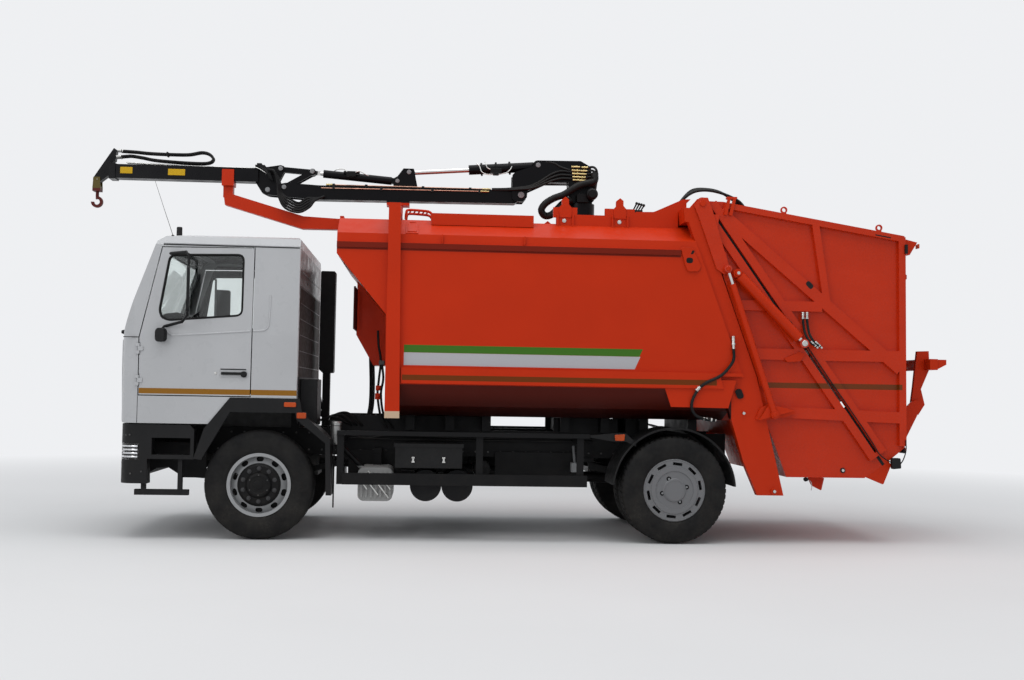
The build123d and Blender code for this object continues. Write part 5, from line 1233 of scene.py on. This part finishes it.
def chassis_details():
    """Latches, canister, rail bolts, air lines, pale valve, covers, dark plates of painted shade between the
    frame's parts, silencer ribs and mudguard lips.
    """
    latches = [block(x - 15, x + 15, -1150, -1136, z0, z1) for x in (1462, 1757)
               for z0, z1 in ((752, 766), (792, 808))]
    latches += [block(x - 9, x + 9, -1146, -1136, 752, 808) for x in (1462, 1757)]
    piece("box_latches", latches, steel, "chassis", 2.0)
    canister = [lathe([(905, 0), (905, 40), (919, 53), (1084, 53), (1092, 46), (1092, 58), (1122, 58),
                       (1132, 44), (1132, 0)], (701, -900, 0), 36, 2),
                lathe([(1000, 54), (1000, 58), (1016, 58), (1016, 54)], (701, -900, 0), 36, 2)]
    piece("filter_canister", canister, bright_plate, "chassis", 1.5)
    bolts = hexes([(130 * k - 900, z) for k in range(41) for z in (830, 1000)], 22, -442, -431)
    piece("rail_bolts", both(bolts), casting, "chassis", 0.8)
    air = [hose([(1500 + 306 * k, -520, 700), (1560 + 306 * k, -500, 780), (1640 + 300 * k, -460, 840)],
                9, 24) for k in range(2)]
    air += [hose([(760, -480, 990), (1000, -474, 960), (1240, -470, 985), (2000, -470, 970),
                  (2700, -474, 985), (3300, -470, 975)], 9, 60),
            hose([(760, -490, 960), (1400, -480, 945), (2300, -480, 950), (3300, -484, 950)], 7, 60)]
    air += [block(688, 702, -1006, -996, 300, 900)]
    piece("air_lines", air, hose_rubber, "chassis", crease=80)
    white = [block(3052, 3120, -700, -600, 650, 745), block(3126, 3158, -690, -610, 642, 740),
             tube([(3100, -610, 700), (3100, -520, 800), (3100, -436, 900)], 14, 12)]
    piece("pale_valve", white, grey_fittings, "chassis", 4.0)
    drum = lathe([(-662, 0), (-662, 62), (-650, 86), (-560, 92), (-436, 92), (-436, 0)], (2150, 0, 668), 48)
    # Dark plates that close the gaps between the frame's parts: painted shade
    inner = [block(x0, x1, -470, -458, 600, 836) for x0, x1 in ((800, 1340), (2290, 3150))]
    fender = prism([(-1190, 560), (-1050, 640), (-950, 655), (-800, 560), (-570, 545), (-570, 900),
                    (-1190, 900)], -720, -700)
    piece("under_frame_covers_and_shade_plates", both(inner + [fender, drum]), frame_paint, "chassis", 3.0)
    ribs = [swung(block(x - 7, x + 7, -1044, -1030, 530 - reach, 530 + reach), (x, -1034, 530), -38)
            for x, reach in ((985, 60), (1050, 130), (1130, 165), (1210, 60))]
    piece("silver_ribs", ribs, steel, "chassis", 2.0)
    t = np.radians(np.linspace(4, 176, 60))
    lip_radius = TYRE_R + 80
    arc = np.column_stack([WHEELBASE + lip_radius * np.cos(t), np.full(60, -1222.0),
                           TYRE_R + lip_radius * np.sin(t)])
    piece("mudguard_lips", both([tube(arc, 7, 8)]), black_plastic, "chassis")


chassis_details()


# Scene

PALE = rgba(0.86, 0.87, 0.89)


def backdrop():
    """Pale floor that keeps the truck's shadow and turns into the backdrop's white further out."""
    shader = Shader("pale_floor")
    shader.principled.inputs["Roughness"].default_value = 0.95
    shader.principled.inputs["Specular IOR Level"].default_value = 0.1
    shader.feed(Base_Color=shader.mix(shader.noise(0.4, 3), rgba(0.66, 0.66, 0.66), rgba(0.70, 0.70, 0.70)))
    flat = shader.node("ShaderNodeVectorMath", {0: shader.place}, operation="LENGTH").outputs["Value"]
    rays = shader.node("ShaderNodeLightPath").outputs
    seen = shader.math("MAXIMUM", shader.math("MAXIMUM", rays["Is Camera Ray"], rays["Is Glossy Ray"]),
                       rays["Is Transmission Ray"])
    far = shader.math("MULTIPLY", shader.ramp(flat, 5.5, 15.0), seen)
    pale = shader.node("ShaderNodeEmission", {"Color": PALE, "Strength": 1.0}).outputs[0]
    lit = shader.principled.outputs[0]
    mixed = shader.node("ShaderNodeMixShader", {0: far, 1: lit, 2: pale}).outputs[0]
    shader.tree.links.new(mixed, shader.tree.nodes["Material Output"].inputs[0])
    half = 60
    mesh = bpy.data.meshes.new("floor")
    corners = [(-half, -half, 0), (half, -half, 0), (half, half, 0), (-half, half, 0)]
    mesh.from_pydata(corners, [], [(0, 1, 2, 3)])
    mesh.materials.append(shader.material)
    floor = bpy.data.objects.new("floor", mesh)
    bpy.context.collection.objects.link(floor)


def sky():
    """Even soft light, white to the camera and in reflections."""
    world = bpy.data.worlds.new("studio")
    bpy.context.scene.world = world
    world.use_nodes = True
    tree = world.node_tree
    tree.nodes.clear()
    paths = tree.nodes.new("ShaderNodeLightPath")
    light = tree.nodes.new("ShaderNodeBackground")
    light.inputs[0].default_value = rgba(0.93, 0.96, 1.0)
    light.inputs[1].default_value = 0.60
    seen = tree.nodes.new("ShaderNodeBackground")
    seen.inputs[0].default_value = PALE
    seen.inputs[1].default_value = 1.0
    mixed = tree.nodes.new("ShaderNodeMixShader")
    out = tree.nodes.new("ShaderNodeOutputWorld")
    direct = paths.outputs["Is Camera Ray"]
    for ray in ("Is Glossy Ray", "Is Transmission Ray"):
        either = tree.nodes.new("ShaderNodeMath")
        either.operation = "MAXIMUM"
        tree.links.new(direct, either.inputs[0])
        tree.links.new(paths.outputs[ray], either.inputs[1])
        direct = either.outputs[0]
    tree.links.new(direct, mixed.inputs[0])
    tree.links.new(light.outputs[0], mixed.inputs[1])
    tree.links.new(seen.outputs[0], mixed.inputs[2])
    tree.links.new(mixed.outputs[0], out.inputs[0])


def lamp(name, spot, aim, size, power):
    """Large soft lamp that looks at a point."""
    data = bpy.data.lights.new(name, "AREA")
    data.shape = "RECTANGLE"
    data.size, data.size_y = size
    data.energy = power
    made = bpy.data.objects.new(name, data)
    made.location = spot
    made.rotation_mode = "QUATERNION"
    made.rotation_quaternion = (Vector(aim) - Vector(spot)).to_track_quat("-Z", "Y")
    bpy.context.collection.objects.link(made)


def photo_camera():
    """Camera of the photograph: place in millimetres, angles in degrees, focal length in pixels."""
    spot, focal_px, width_px = (1548, -13115, 1462), 1234, 1024
    yaw, pitch, roll = (math.radians(a) for a in (4.06, 2.35, 1.0))
    ahead = Vector((math.sin(yaw) * math.cos(pitch), math.cos(yaw) * math.cos(pitch), math.sin(pitch)))
    level = Vector((math.cos(yaw), -math.sin(yaw), 0))
    above = level.cross(ahead)
    right = level * math.cos(roll) + above * math.sin(roll)
    up = above * math.cos(roll) - level * math.sin(roll)
    data = bpy.data.cameras.new("camera")
    data.sensor_width = 36
    data.lens = focal_px * data.sensor_width / width_px
    data.clip_start, data.clip_end = 0.1, 200
    camera = bpy.data.objects.new("camera", data)
    turn = Matrix((right, up, -ahead)).transposed().to_4x4()
    camera.matrix_world = Matrix.Translation(Vector(place(spot))) @ turn
    bpy.context.collection.objects.link(camera)
    bpy.context.scene.camera = camera


backdrop()
sky()
lamp("overhead", (0, -3, 14), (0, 0, 1.5), (16, 12), 1300)
lamp("front_fill", (-10, -12, 7), (0, 0, 1.5), (8, 6), 350)
photo_camera()
bpy.context.scene.view_settings.view_transform = "Standard"
